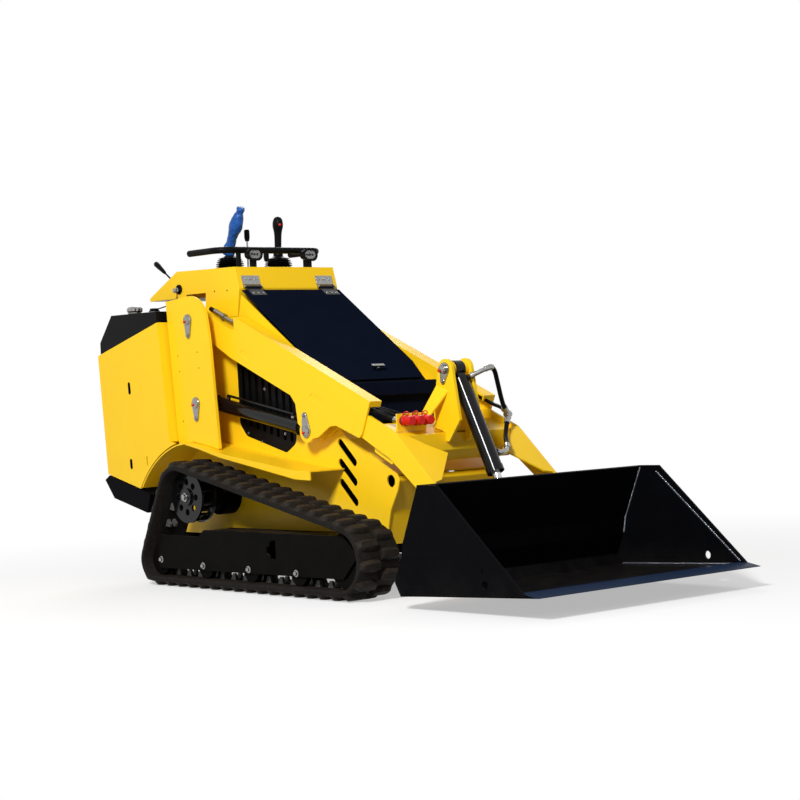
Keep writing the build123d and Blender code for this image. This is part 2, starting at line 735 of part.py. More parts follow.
lug_opening = [(lug_rear, 692), (lug_front, 620), (lug_front, 500), (lug_rear, 500)]
front_opening = [(station, arm_top(station) - 3 * arm_wall) for station in (lug_front, arm_front)]
front_opening += [(arm_front, 500), (lug_front, 500)]
pressings = [(897, 867), (1312, 693)]      # middles of the shallow oblongs along each arm
pressing_length, pressing_width, pressing_depth = 92.0, 28.0, 2.0
arm_slope = degrees(atan2(arm_web[4][1] - arm_web[3][1], arm_web[4][0] - arm_web[3][0]))
for side, name in SIDES.items():
    with BuildPart() as arm:
        web(arm_web, side, arm_inner, arm_outer)
        with BuildSketch(Plane.XZ.offset(-side * (arm_outer - pressing_depth))) as view:
            with Locations(*outline(pressings)):
                SlotOverall(pressing_length, pressing_width, rotation=arm_slope)
        extrude(view.sketch, amount=-side * pressing_depth, mode=Mode.SUBTRACT)
        disc(lug_pin, lug_radius, side, arm_inner, arm_outer)
        hollow(side, arm_inner, arm_outer - arm_wall, boss_end, lug_rear - arm_wall)
        hollow(side, arm_inner + arm_wall, arm_outer - arm_wall, lug_rear, lug_front, lug_opening)
        hollow(side, arm_inner, arm_outer - arm_wall, lug_front + arm_wall, arm_front, front_opening)
        disc(boom_pin, boss_radius, side, arm_inner, tower_outer - tower_plate - 2)
        disc(boom_pin, pin_radius + pin_gap, side, arm_inner, tower_outer, mode=Mode.SUBTRACT)
    export(arm, f"arm_{name}")

leg_outline = [
    (1450, 632), (1590, 634), (1737, 569), (1921, 401), (1976, 300), (1976, 150), (1892, 150), (1870, 290),
    (1833, 379), (1694, 484), (1655, 502), (1542, 560), (1450, 596),
]
leg_outer = arm_outer - arm_wall - seat_gap
leg_inner = leg_outer - 12
(face_station, face_height), (toe_station, toe_height) = leg_outline[2:4]
face_fall = atan2(face_height - toe_height, toe_station - face_station)
front_face = Plane(
    origin=(rear_x + face_station, 0, face_height), x_dir=(cos(face_fall), 0, -sin(face_fall)),
    z_dir=(sin(face_fall), 0, cos(face_fall)))
gusset = [(0, 262), (60, 200), (110, 130), (235, 246)]      # distance down the leg's face, and y
for side, name in SIDES.items():
    with BuildPart() as leg:
        web(leg_outline, side, leg_inner, leg_outer)
        disc(bucket_pin, 42, side, leg_inner, leg_outer)
        with BuildSketch(front_face) as face:
            with BuildLine():
                Polyline((0, side * leg_outer), *[(down, side * y) for down, y in gusset],
                         (gusset[-1][0] + 14, side * leg_outer), close=True)
            make_face()
        extrude(face.sketch, amount=-8)
        disc(bucket_pin, pin_radius + pin_gap, side, leg_inner - 1, leg_outer + 1, mode=Mode.SUBTRACT)
    export(leg, f"leg_{name}")

beam_outline = [(1600, 505), (1690, 462), (1704, 470), (1724, 500), (1724, 560), (1600, 600)]


def beam_top(station):
    """Height of the cross beam's sloping top at this station."""
    (front, low), (rear, high) = beam_outline[4:]
    return low + (high - low) * (front - station) / (front - rear)


with BuildPart() as beam:
    across(beam_outline, leg_inner - seat_gap)
export(beam, "cross_beam")


def inclined(corners, thickness):
    """A flat plate through these corners, the first three of which set its plane."""
    first, second, third = (Vector(*corner) for corner in corners[:3])
    plane = Plane(origin=first, x_dir=second - first, z_dir=(second - first).cross(third - second))
    with BuildSketch(plane) as view:
        with BuildLine():
            places = [plane.to_local_coords(Vector(*corner)) for corner in corners]
            Polyline(*[(place.X, place.Y) for place in places], close=True)
        make_face()
    extrude(view.sketch, amount=thickness)


bracket_outline = [
    (tilt_pin[0] - 37, tilt_pin[1]), (1670, 686), (1672, 602), (1660, 584),
    (beam_outline[4][0] + seat_gap, 561), (beam_outline[3][0] + seat_gap, 530), (1740, 530), (1800, 605),
    (tilt_pin[0] + 37, tilt_pin[1]),
]
bracket_foot = [(1660, 584), (1724, 566), (1724, 576), (1664, 594)]
brace_top = [(1750, 715), (1685, 735)]      # where the bent brace leaves each tilt lug
brace_foot = [1638, 1668]                   # stations of its foot on the cross beam
brace_spread, brace_thickness = 72.0, 8.0
with BuildPart() as bracket:
    for side in SIDES:
        lug_outer = side * (tilt_lug_inner + tilt_lug_wall - 2)
        brace = [(rear_x + s, lug_outer, z) for s, z in brace_top]
        rise = (brace_top[1][1] - brace_top[0][1]) / (brace_top[1][0] - brace_top[0][0])
        foot_height = beam_top(brace_foot[0]) + brace_thickness / 2
        foot_y = lug_outer + side * brace_spread
        brace.append((rear_x + brace_foot[0], foot_y, foot_height))
        brace.append((rear_x + brace_foot[1], foot_y, foot_height + rise * (brace_foot[1] - brace_foot[0])))
        inclined(brace, side * brace_thickness)
        web(bracket_outline, side, tilt_lug_inner, tilt_lug_inner + tilt_lug_wall)
        disc(tilt_pin, 37, side, tilt_lug_inner, tilt_lug_inner + tilt_lug_wall)
        disc(tilt_pin, 28, side, 22, tilt_lug_inner)
        disc(tilt_pin, tilt_pin_radius + pin_gap, side, 21, tilt_lug_inner + tilt_lug_wall, mode=Mode.SUBTRACT)
    web(bracket_foot, RIGHT, -tilt_lug_inner, tilt_lug_inner)
export(bracket, "tilt_bracket")

with BuildPart() as tilt_pin_part:
    disc(tilt_pin, tilt_pin_radius, LEFT, -70, 70)
export(tilt_pin_part, "tilt_pin")

with BuildPart() as lug_pins:
    for side in SIDES:
        keeper(lug_pin, side, arm_outer + seat_gap, 186)
export(lug_pins, "lift_lug_keepers")

# auxiliary couplers: an upright plate on the cross beam, with a capped coupler at each place
coupler_station, coupler_rise = 1690.0, 41.0323      # rise of the coupler axes over the beam
coupler_height = beam_top(coupler_station) + coupler_rise
coupler_middles = (-225.0, -181.0, -137.0)
stand_width, stand_height, stand_thickness = 136.0, 64.0, 6.0
coupler_table = [
    # start in front of the plate, length, radius
    (0, 16, 13),
    (16, 10, 19),
    (26, 30, 16),
]
with BuildPart() as stand:
    with BuildSketch(Plane.YZ.offset(rear_x + coupler_station)) as view:
        with Locations((coupler_middles[1], beam_top(coupler_station - stand_thickness) + seat_gap + 0.1)):
            Rectangle(stand_width, stand_height, align=(Align.CENTER, Align.MIN))
    extrude(view.sketch, amount=-stand_thickness)
export(stand, "coupler_bracket")

with BuildPart() as couplers:
    for middle in coupler_middles:
        for start, length, radius in coupler_table:
            face = Plane.YZ.offset(rear_x + coupler_station + seat_gap + start)
            with BuildSketch(face) as ring:
                with Locations((middle, coupler_height)):
                    RegularPolygon(radius, 24)
            extrude(ring.sketch, amount=length)
export(couplers, "coupler_caps")


# ================================================================ hoses
def along(start, end):
    """Distance between two points of the side view, and the direction from start to end."""
    (s0, z0), (s1, z1) = start, end
    span = hypot(s1 - s0, z1 - z0)
    return span, Vector((s1 - s0) / span, 0, (z1 - z0) / span)


def hose(route, radius, bends):
    """A round hose along straight runs joined by arcs; the route is station, y, height."""
    points = [(rear_x + station, y, height) for station, y, height in route]
    with BuildLine() as centre:
        FilletPolyline(*points, radius=bends)
    with BuildSketch(Plane(origin=centre.wire() @ 0, z_dir=centre.wire() % 0)) as section:
        Circle(radius)
    sweep(section.sketch, path=centre.wire())
    return centre.wire().length


coupler_hose_radius = 8.0
hose_start = (-282.0, -263.0, -244.0)        # places side by side within the right arm
hose_lengths = {}
with BuildPart() as coupler_hoses:
    for start, middle in zip(hose_start, coupler_middles):
        route = [
            (lug_front + 38, start, 688), (1550, start, 664), (1606, start + 0.35 * (middle - start), 646),
            (1650, middle, coupler_height),
            (coupler_station - stand_thickness - seat_gap, middle, coupler_height),
        ]
        hose_lengths[f"coupler hose at y {middle:.0f}"] = hose(route, coupler_hose_radius, [60, 45, 28])
export(coupler_hoses, "coupler_hoses")

# tilt hoses: one loops from the barrel's upper port to the left arm's pipe, one runs to its lower port
_, tilt_axis = along(tilt_pin, rod_pin)
tilt_ports = [
    # distance along the barrel, direction outwards
    (50, Vector(0.559, 0.716, 0.419)),
    (337, Vector(0, 1, 0)),
]
port_radius, port_length = 10.0, 8.0
hose_ends = []
for place, outwards in tilt_ports:
    middle = Vector(tilt_pin[0], 0, tilt_pin[1]) + tilt_axis * place
    hose_ends.append(tuple(middle + outwards * (tilt_barrel_radius + port_length + 2)))
tilt_hose_radius, arm_pipe_radius = 8.5, 7.0
pipe_drop = 3 * arm_wall + arm_pipe_radius + 1      # from the arm's top to the pipe under its end wall
arm_pipe = [(station, 262, arm_top(station) - pipe_drop) for station in (1470, 1625)]
arm_pipe += [(1700, 246, 640), (1744, 232, 622)]
upper_hose = [
    hose_ends[0], (1806, 66, 780), (1818, 104, 792), (1792, 146, 724), (1758, 200, 640), (1748, 228, 620),
]
lower_hose = [
    (1748, 228, 602), (1762, 206, 566), (1791, 172, 532), (1840, 135, 504), (1884, 84, 485), hose_ends[1],
]
elbow_block = [(1736, 594), (1760, 594), (1760, 630), (1736, 630)]
with BuildPart() as tilt_hoses:
    web(elbow_block, LEFT, 218, 242)
    hose_lengths["arm pipe"] = hose(arm_pipe, arm_pipe_radius, [60, 40])
    hose_lengths["upper tilt hose"] = hose(upper_hose, tilt_hose_radius, [30, 22, 40, 30])
    hose_lengths["lower tilt hose"] = hose(lower_hose, tilt_hose_radius, [40, 50, 60, 30])
export(tilt_hoses, "tilt_hoses")
for label, length in hose_lengths.items():
    print(f"{label}: {length:.0f} mm")


# ================================================================ cylinders
gland_length = 22.0
pipe_radius, pipe_rise = 5.0, 14.0        # the pipe over a lift cylinder, and its height above the barrel


def barrel(label, start, end, centre_y, radius, rod_radius, eye, eye_half, bore, cap_back, cap_front,
           pipe=(), ports=()):
    """A cylinder's barrel with its eye, gland and bore; the pipe is its two ends along the barrel."""
    span, axis = along(start, end)
    origin = Vector(rear_x + start[0], centre_y, start[1])
    with BuildPart() as body:
        with BuildSketch(Plane(origin=origin + axis * cap_back, z_dir=axis)):
            Circle(radius)
        extrude(amount=span - cap_back - cap_front)
        with BuildSketch(Plane(origin=origin + axis * (span - cap_front - gland_length), z_dir=axis)):
            Circle(radius + 2)
        extrude(amount=gland_length)
        with BuildSketch(Plane(origin=origin, z_dir=axis)):
            Rectangle(2 * eye_half - 6, 2 * eye_half - 6)
        extrude(amount=cap_back)
        with Locations(origin):
            Cylinder(eye, 2 * eye_half, rotation=(90, 0, 0))
        with BuildSketch(Plane(origin=origin + axis * (cap_back + 12), z_dir=axis)):
            Circle(rod_radius + pin_gap)
        extrude(amount=span, mode=Mode.SUBTRACT)
        with Locations(origin):
            Cylinder(bore + pin_gap, 2 * eye_half + 2, rotation=(90, 0, 0), mode=Mode.SUBTRACT)
        for place, outwards in ports:
            root = origin + axis * place + outwards * (radius - 6)
            with BuildSketch(Plane(origin=root, z_dir=outwards)) as boss:
                Circle(port_radius)
            extrude(boss.sketch, amount=port_length + 6)
        upwards = Vector(-axis.Z, 0, axis.X)
        for place in pipe:
            root = origin + axis * place + upwards * (radius - 3)
            with BuildSketch(Plane(origin=root, z_dir=upwards)) as post:
                Circle(pipe_radius + 2)
            extrude(post.sketch, amount=pipe_rise + 3)
        if pipe:
            start_point = origin + axis * (pipe[0] - 6) + upwards * (radius + pipe_rise)
            with BuildSketch(Plane(origin=start_point, z_dir=axis)) as tube:
                Circle(pipe_radius)
            extrude(tube.sketch, amount=pipe[1] - pipe[0] + 12)
    export(body, label)


def rod(label, start, end, centre_y, rod_radius, eye, eye_half, bore, back):
    span, axis = along(start, end)
    origin = Vector(rear_x + start[0], centre_y, start[1])
    tip = Vector(rear_x + end[0], centre_y, end[1])
    with BuildPart() as body:
        with BuildSketch(Plane(origin=origin + axis * back, z_dir=axis)):
            Circle(rod_radius)
        extrude(amount=span - back)
        with Locations(tip):
            Cylinder(eye, 2 * eye_half, rotation=(90, 0, 0))
            Cylinder(bore, 2 * eye_half + 2, rotation=(90, 0, 0), mode=Mode.SUBTRACT)
    export(body, label)


lift_y = (arm_inner + arm_wall + arm_outer - arm_wall) / 2
lift_eye_half = 16.0
for side, name in SIDES.items():
    barrel(f"lift_barrel_{name}", lift_pin, lug_pin, side * lift_y, lift_barrel_radius, lift_rod_radius,
           eye_radius, lift_eye_half, pin_radius, 44, 66, pipe=(90, 500))
    rod(f"lift_rod_{name}", lift_pin, lug_pin, side * lift_y, lift_rod_radius, eye_radius, lift_eye_half,
        16, 74)

barrel("tilt_barrel", tilt_pin, rod_pin, 0, tilt_barrel_radius, tilt_rod_radius, eye_radius, 20, tilt_pin_radius,
       44, 150, ports=tilt_ports)
rod("tilt_rod", tilt_pin, rod_pin, 0, tilt_rod_radius, 28, 18, 15, 100)

# ================================================================ bucket
bucket_back = [(2011, 166), (2023, 225), (2106, 413)]      # rear face, upwards
bucket_floor = [(2590, 70), (2003, 45), (1976, 91)]         # underside, rearwards
bucket_front = [(2200, 414), (2592, 76)]                    # free edge of the sides, downwards
bucket_side = bucket_back + bucket_front + bucket_floor[1:]
edge_section = [(2536, 68), (2536, 82), (2580, 84), (lip_station, 73), (2590, 70)]     # the cutting edge
overlay_seam = [(2014, 170), (2236, 180), (2346, 185), (2102, 390)]
overlay = bucket_back[2:] + bucket_front + bucket_floor[1:] + bucket_back[:1] + overlay_seam
overlay_thickness = 2.0                                     # thicker plate along the front and the bottom
side_hole, side_hole_radius = (2411.0, 103.0), 14.0
side_slot, side_slot_length, side_slot_width = (2401.0, 146.0), 18.0, 6.0
with BuildPart() as bucket:
    for side in SIDES:
        web(bucket_side, side, bucket_half - bucket_wall, bucket_half - overlay_thickness)
        web(overlay, side, bucket_half - overlay_thickness, bucket_half)
        disc(side_hole, side_hole_radius, side, bucket_half - bucket_wall, bucket_half, mode=Mode.SUBTRACT)
        with BuildSketch(Plane.XZ.offset(-side * (bucket_half - bucket_wall))) as view:
            with Locations(at(*side_slot)):
                SlotOverall(side_slot_length, side_slot_width, rotation=100)
        extrude(view.sketch, amount=-side * bucket_wall, mode=Mode.SUBTRACT)
    strip(bucket_floor + bucket_back, bucket_wall, LEFT,
          -(bucket_half - bucket_wall), bucket_half - bucket_wall, bend=12)
    across(edge_section, bucket_half - bucket_wall)
export(bucket, "bucket")


def behind_bucket(height, distance):
    """A point this far behind the bucket's rear face, measured level."""
    for (s0, z0), (s1, z1) in zip(bucket_back, bucket_back[1:]):
        if height <= z1:
            break
    return (s0 + (s1 - s0) * (height - z0) / (z1 - z0) - distance, height)


plate_low, plate_high, plate_thickness, plate_half = 172.0, 386.0, 11.0, 400.0
lug_thickness, rod_lug_inner = 12.0, 22.0
plate_bend = bucket_back[1][1]
with BuildPart() as attach:
    across([behind_bucket(height, seat_gap + 0.05) for height in (plate_low, plate_bend, plate_high)]
           + [behind_bucket(height, plate_thickness) for height in (plate_high, plate_bend, plate_low)],
           plate_half)
    across([(rod_pin[0] + s, rod_pin[1] + z) for s, z in ((5, -45), (75, -45), (75, 45), (5, 45))],
           rod_lug_inner - 1, mode=Mode.SUBTRACT)
    for side in SIDES:
        for inner in (leg_outer + 4, leg_inner - 16):
            near_pin = [
                (bucket_pin[0] + s, bucket_pin[1] + z) for s, z in ((56, 90), (0, 36), (0, -36), (26, -36))
            ]
            web(near_pin + [behind_bucket(176, 5), behind_bucket(236, 5)], side, inner, inner + lug_thickness)
            disc(bucket_pin, 36, side, inner, inner + lug_thickness)
            disc(bucket_pin, pin_radius + seat_gap, side, inner, inner + lug_thickness, mode=Mode.SUBTRACT)
        near_pin = [(rod_pin[0] + s, rod_pin[1] + z) for s, z in ((29, 37), (0, 30), (0, -30))]
        web(near_pin + [behind_bucket(250, 5), behind_bucket(322, 5)], side,
            rod_lug_inner, rod_lug_inner + lug_thickness)
        disc(rod_pin, 30, side, rod_lug_inner, rod_lug_inner + lug_thickness)
export(attach, "attachment_plate")

with BuildPart() as bucket_pins:
    for side in SIDES:
        disc(bucket_pin, pin_radius, side, leg_inner - 18, leg_outer + 20)
export(bucket_pins, "bucket_pins")
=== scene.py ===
# %% [markdown]
# # A compact tracked skid steer loader
# The loader is a machine of folded and cut steel plate. Its panels are sprayed a glossy yellow, its
# hood, bucket and track frames are black, and it stands on two rubber tracks. The solids arrive in
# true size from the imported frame. Blender gives each of them its finish, rounds the edges that
# a folding press would round, and adds the small pieces that a solid model leaves out.

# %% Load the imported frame
import json
import math

import bmesh
import bpy
from mathutils import Matrix, Vector, noise


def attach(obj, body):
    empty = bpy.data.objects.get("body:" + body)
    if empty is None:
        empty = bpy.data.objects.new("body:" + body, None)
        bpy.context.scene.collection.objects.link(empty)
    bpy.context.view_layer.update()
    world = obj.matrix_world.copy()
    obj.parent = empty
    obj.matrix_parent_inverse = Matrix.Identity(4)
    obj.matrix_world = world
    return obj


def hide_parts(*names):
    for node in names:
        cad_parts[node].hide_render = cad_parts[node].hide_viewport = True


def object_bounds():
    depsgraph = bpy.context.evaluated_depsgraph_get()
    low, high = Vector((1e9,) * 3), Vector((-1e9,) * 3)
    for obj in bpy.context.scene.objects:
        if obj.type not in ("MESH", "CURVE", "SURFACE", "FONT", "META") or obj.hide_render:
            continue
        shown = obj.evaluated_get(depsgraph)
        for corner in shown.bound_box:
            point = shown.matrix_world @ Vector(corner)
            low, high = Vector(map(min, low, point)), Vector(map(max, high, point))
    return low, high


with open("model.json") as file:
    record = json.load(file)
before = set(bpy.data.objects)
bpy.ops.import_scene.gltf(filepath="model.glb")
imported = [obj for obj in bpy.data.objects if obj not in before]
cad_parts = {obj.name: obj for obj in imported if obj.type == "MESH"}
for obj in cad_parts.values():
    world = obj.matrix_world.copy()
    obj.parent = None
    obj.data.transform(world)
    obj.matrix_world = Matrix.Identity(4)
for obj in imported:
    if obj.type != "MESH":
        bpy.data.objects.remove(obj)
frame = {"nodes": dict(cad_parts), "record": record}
cad_box = [list(corner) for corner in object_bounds()]
body_of = {node: body for body, nodes in frame["record"]["behaviour"]["bodies"].items() for node in nodes}
slot_of = {row["node"]: row["material_slot"] for row in frame["record"]["subparts"]}


# %% Places on the machine, in metres
def at(station, side, height):
    """Millimetres from the machine's rearmost edge, from its middle plane, and from the ground."""
    return Vector((cad_box[0][0] + station / 1000, side / 1000, height / 1000))


FORWARD, LEFTWARD, UPWARD = Vector((1, 0, 0)), Vector((0, 1, 0)), Vector((0, 0, 1))
SIDES = {"right": -1, "left": 1}

# %% [markdown]
# ## Effects that several finishes share
# Sprayed paint, moulded plastic and rubber all have a fine relief, and everything near the ground
# carries a film of dust. Each effect is one node group. It is built once and placed in every
# material that shows it, with that material's own values.


# %% Node helpers
def group_tree(name, inputs, outputs, kind="ShaderNodeTree"):
    tree = bpy.data.node_groups.new(name, kind)
    for label, socket_type, value in inputs:
        socket = tree.interface.new_socket(label, in_out="INPUT", socket_type=socket_type)
        if value is not None:
            socket.default_value = value
    for label, socket_type in outputs:
        tree.interface.new_socket(label, in_out="OUTPUT", socket_type=socket_type)
    return tree, tree.nodes.new("NodeGroupInput").outputs, tree.nodes.new("NodeGroupOutput")


def fill(node, values):
    """Set inputs to values, or join them to sockets; a node stands for its first output."""
    for socket, value in values.items():
        if isinstance(value, bpy.types.Node):
            value = value.outputs[0]
        if isinstance(value, bpy.types.NodeSocket):
            node.id_data.links.new(value, node.inputs[socket])
        else:
            node.inputs[socket].default_value = value


def add(tree, kind, values=(), **settings):
    """A node with its settings and its inputs."""
    node = tree.nodes.new(kind)
    for key, value in settings.items():
        setattr(node, key, value)
    fill(node, dict(values))
    return node


# %% Relief: two sizes of noise, for paint, plastic and rubber
FLOAT, COLOR = "NodeSocketFloat", "NodeSocketColor"
relief, inlet, outlet = group_tree(
    "surface_relief",
    [("Coarse", FLOAT, 60.0), ("Fine", FLOAT, 900.0), ("Fine share", FLOAT, 0.4)],
    [("Height", FLOAT), ("Patches", FLOAT)],
)
where = add(relief, "ShaderNodeTexCoord").outputs["Object"]
coarse = add(relief, "ShaderNodeTexNoise", {"Vector": where, "Scale": inlet["Coarse"], "Detail": 3.0})
fine = add(relief, "ShaderNodeTexNoise", {"Vector": where, "Scale": inlet["Fine"], "Detail": 1.0})
blend = add(relief, "ShaderNodeMix",
            {0: inlet["Fine share"], 2: coarse.outputs["Fac"], 3: fine.outputs["Fac"]})
fill(outlet, {"Height": blend, "Patches": coarse.outputs["Fac"]})
print("group", relief.name, "nodes", len(relief.nodes))

# %% Dust: thick near the ground, thin above, more on what faces up, and broken up by noise
dust, inlet, outlet = group_tree(
    "ground_dust",
    [("Paint", COLOR, (0.5, 0.5, 0.5, 1)), ("Dust", COLOR, (0.32, 0.24, 0.16, 1)), ("Top", FLOAT, 0.5),
     ("Amount", FLOAT, 0.3), ("Upward", FLOAT, 0.5), ("Clean", FLOAT, 0.3), ("Dusty", FLOAT, 0.8)],
    [("Color", COLOR), ("Roughness", FLOAT), ("Mask", FLOAT)],
)
where = add(dust, "ShaderNodeTexCoord")
split = add(dust, "ShaderNodeSeparateXYZ", {"Vector": where.outputs["Object"]})
facing = add(dust, "ShaderNodeSeparateXYZ", {"Vector": where.outputs["Normal"]})
fade = add(dust, "ShaderNodeMapRange",
           {"Value": split.outputs["Z"], "From Min": inlet["Top"], "From Max": 0.0})
lift = add(dust, "ShaderNodeMapRange",
           {"Value": facing.outputs["Z"], "From Min": 0.5, "From Max": 1.0, "To Max": inlet["Upward"]})
cloud = add(dust, "ShaderNodeTexNoise",
            {"Vector": where.outputs["Object"], "Scale": 14.0, "Detail": 8.0, "Roughness": 0.65})
breaks = add(dust, "ShaderNodeMapRange", {"Value": cloud.outputs["Fac"], "From Min": 0.36, "From Max": 0.7})
level = add(dust, "ShaderNodeMath", {0: lift, 1: inlet["Amount"]}, operation="ADD")
lay = add(dust, "ShaderNodeMath", {0: fade, 1: breaks}, operation="MULTIPLY")
mask = add(dust, "ShaderNodeMath", {0: lay, 1: level}, operation="MULTIPLY", use_clamp=True)
color = add(dust, "ShaderNodeMix", {0: mask, 6: inlet["Paint"], 7: inlet["Dust"]}, data_type="RGBA")
rough = add(dust, "ShaderNodeMix", {0: mask, 2: inlet["Clean"], 3: inlet["Dusty"]})
fill(outlet, {"Color": color.outputs[2], "Roughness": rough, "Mask": mask})
print("group", dust.name, "nodes", len(dust.nodes))

# %% [markdown]
# ## Finishes
# A finish is a colour, a gloss, a relief and some dust. One function wires the two effects to
# a Principled shader, so each finish below is only its values. The black paints get a low specular
# level, because a pale room would otherwise turn them grey, and bare steel is fully metallic.


# %% The finish function
def finish(name, color, roughness, coarse=60.0, fine=900.0, share=0.4, bump=0.1, depth=0.0004,
           dust_top=0.5, dust_amount=0.0, dust_up=0.0, dust_color=(0.30, 0.23, 0.15), tint=0.06,
           specular=0.5, metal=0.0):
    """A material: a colour that varies a little by tint, with its relief and its dust."""
    material = bpy.data.materials.new(name)
    material.use_nodes = True
    tree = material.node_tree
    bumps = add(tree, "ShaderNodeGroup", {"Coarse": coarse, "Fine": fine, "Fine share": share},
                node_tree=relief)
    deep = tuple(channel * (1 - tint) for channel in color)
    pale = tuple(min(channel * (1 + tint) + 0.02 * tint, 1) for channel in color)
    paint = add(tree, "ShaderNodeMix", {0: bumps.outputs["Patches"], 6: (*deep, 1), 7: (*pale, 1)},
                data_type="RGBA")
    film = add(tree, "ShaderNodeGroup",
               {"Paint": paint.outputs[2], "Dust": (*dust_color, 1), "Top": dust_top, "Amount": dust_amount,
                "Upward": dust_up, "Clean": roughness, "Dusty": min(roughness + 0.45, 0.95)}, node_tree=dust)
    normal = add(tree, "ShaderNodeBump",
                 {"Strength": bump, "Distance": depth, "Height": bumps.outputs["Height"]})
    fill(tree.nodes["Principled BSDF"],
         {"Base Color": film.outputs["Color"], "Roughness": film.outputs["Roughness"], "Normal": normal,
          "Specular IOR Level": specular, "Metallic": metal})
    return material


# %% The finishes of the slots
finishes = {
    "machine_yellow": finish("yellow paint", (0.93, 0.575, 0.008), 0.36, coarse=9, fine=500, share=0.7,
                             bump=0.05, tint=0.03, dust_top=0.55, dust_amount=0.06, dust_up=0.1,
                             specular=0.22),
    "gloss_black": finish("gloss black paint", (0.0020, 0.0021, 0.0030), 0.28, coarse=12, fine=600, share=0.7,
                          bump=0.05, dust_top=0.15, dust_amount=0.03, dust_up=0.03, specular=0.012),
    "frame_black": finish("frame black paint", (0.0030, 0.0028, 0.0026), 0.40, coarse=25, fine=700,
                          dust_amount=0.02, dust_up=0.7, dust_color=(0.10, 0.072, 0.048), specular=0.012),
    "black_plastic": finish("black plastic", (0.0030, 0.0030, 0.0034), 0.38, coarse=180, fine=2200,
                            share=0.6, bump=0.2, specular=0.05),
    "track_rubber": finish("track rubber", (0.0100, 0.0078, 0.0062), 0.45, coarse=70, bump=0.7, depth=0.001,
                           dust_top=1.4, dust_amount=0.10, dust_up=0.55, dust_color=(0.085, 0.053, 0.033),
                           tint=0.5, specular=0.06),
    "engine_iron": finish("engine paint", (0.006, 0.006, 0.0065), 0.45, bump=0.3, specular=0.05),
    "pin_steel": finish("plated steel", (0.31, 0.31, 0.30), 0.22, coarse=90, bump=0.12, tint=0.35, metal=1.0),
    "cylinder_black": finish("cylinder black", (0.0025, 0.0027, 0.0032), 0.13, coarse=20, fine=400,
                             bump=0.03, specular=0.22),
    "rod_chrome": finish("hard chrome", (0.58, 0.59, 0.62), 0.08, coarse=30, bump=0.02, tint=0.02, metal=1.0),
    "coupler_red": finish("red cap", (0.55, 0.006, 0.005), 0.34, coarse=150, specular=0.25),
}
print("slots with a finish", sorted(finishes))

# %% Finishes that only some pieces of a slot have
hood_navy = finish("navy hood paint", (0.0042, 0.0064, 0.0155), 0.20, coarse=12, fine=600, share=0.7,
                   bump=0.04, specular=0.0)
# the belt between the tread blocks: a darker, less dusty copy of the rubber that paints the shade in the gaps
# between the blocks
gap_shade_rubber = finish("belt rubber with painted gap shade", (0.0065, 0.0053, 0.0045), 0.45, bump=0.5, depth=0.001, dust_top=1.0,
                     dust_amount=0.08, dust_up=0.12, dust_color=(0.07, 0.048, 0.033), tint=0.4, specular=0.03)
horn_grey = finish("worn horn tips", (0.075, 0.072, 0.066), 0.4, coarse=80, bump=0.4, tint=0.5)
wrap_blue = finish("blue film", (0.003, 0.068, 0.30), 0.32, coarse=150, fine=500, bump=0.7, depth=0.002,
                   tint=0.35, specular=0.3)
button_red = finish("red button", (0.80, 0.015, 0.010), 0.30, bump=0.0)
hinge_steel = finish("painted hinge steel", (0.012, 0.013, 0.018), 0.22, bump=0.05, specular=0.25)
# painted shade: a flat dark disc stands for the shaded inside of a hole or slot
hole_shade_paint = finish("painted hole shade", (0.002, 0.002, 0.002), 0.9, bump=0.0, specular=0.0)
lens_glass = bpy.data.materials.new("clear lens")
lens_glass.use_nodes = True
glass = lens_glass.node_tree.nodes["Principled BSDF"]
fill(glass, {"Roughness": 0.03, "Transmission Weight": 1.0, "IOR": 1.3})
print("materials", len(bpy.data.materials))

# %% [markdown]
# ## Rounded edges
# A solid model has knife edges, and a real plate never does: a laser leaves a slight burr and
# a press leaves a radius. Each node is copied, its loose triangles are merged into faces, and
# a Bevel modifier rounds what turns by more than 25 degrees. The thin curved ends of the arms and
# the track frames have no room for that, so they ask for a sharper turn or a smaller radius, and
# the rear panels keep their cut edges. Weighted Normal then keeps the flat faces looking flat beside
# their narrow rounded edges. The copy stands for the node.


# %% Finish, freeze and link pieces
def settle(piece, body, slot, material=None, replaced=None):
    """Give a new piece its body and the slot's finish or another material, and hide what it replaces."""
    piece.data.materials.clear()
    piece.data.materials.append(material or finishes[slot])
    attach(piece, body)
    if replaced:
        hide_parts(replaced)
    return piece


def freeze(piece):
    """Swap a piece's modifiers for the mesh that they make."""
    evaluated = piece.evaluated_get(bpy.context.evaluated_depsgraph_get())
    mesh = bpy.data.meshes.new_from_object(evaluated)
    piece.modifiers.clear()
    piece.data = mesh
    return piece


def link(name, data):
    piece = bpy.data.objects.new(name, data)
    bpy.context.scene.collection.objects.link(piece)
    return piece


def smooth(mesh, angle=35):
    mesh.shade_smooth()
    mesh.set_sharp_from_angle(angle=math.radians(angle))


def bevel(piece, radius, angle=25):
    edges = piece.modifiers.new("edges", "BEVEL")
    edges.width = radius
    edges.segments = 2
    edges.limit_method = "ANGLE"
    edges.angle_limit = math.radians(angle)
    freeze(piece)


# %% Copy a node, round its edges and give it its finish
def dress(node, radius, angle, material=None):
    mesh = frame["nodes"][node].data.copy()
    work = bmesh.new()
    work.from_mesh(mesh)
    bmesh.ops.remove_doubles(work, verts=work.verts, dist=1e-5)
    bmesh.ops.dissolve_limit(work, angle_limit=math.radians(1), verts=work.verts, edges=work.edges)
    work.to_mesh(mesh)
    work.free()
    piece = link(node + "_dressed", mesh)
    if radius:
        bevel(piece, radius, angle)
    smooth(piece.data)
    even = piece.modifiers.new("normals", "WEIGHTED_NORMAL")
    even.keep_sharp = True
    freeze(piece)
    settle(piece, body_of[node], slot_of[node], material, node)


rebuilt = {"track_right", "track_left", "control_boots", "joysticks", "levers", "coupler_hoses", "tilt_hoses",
           "tank_caps", "coupler_caps"}
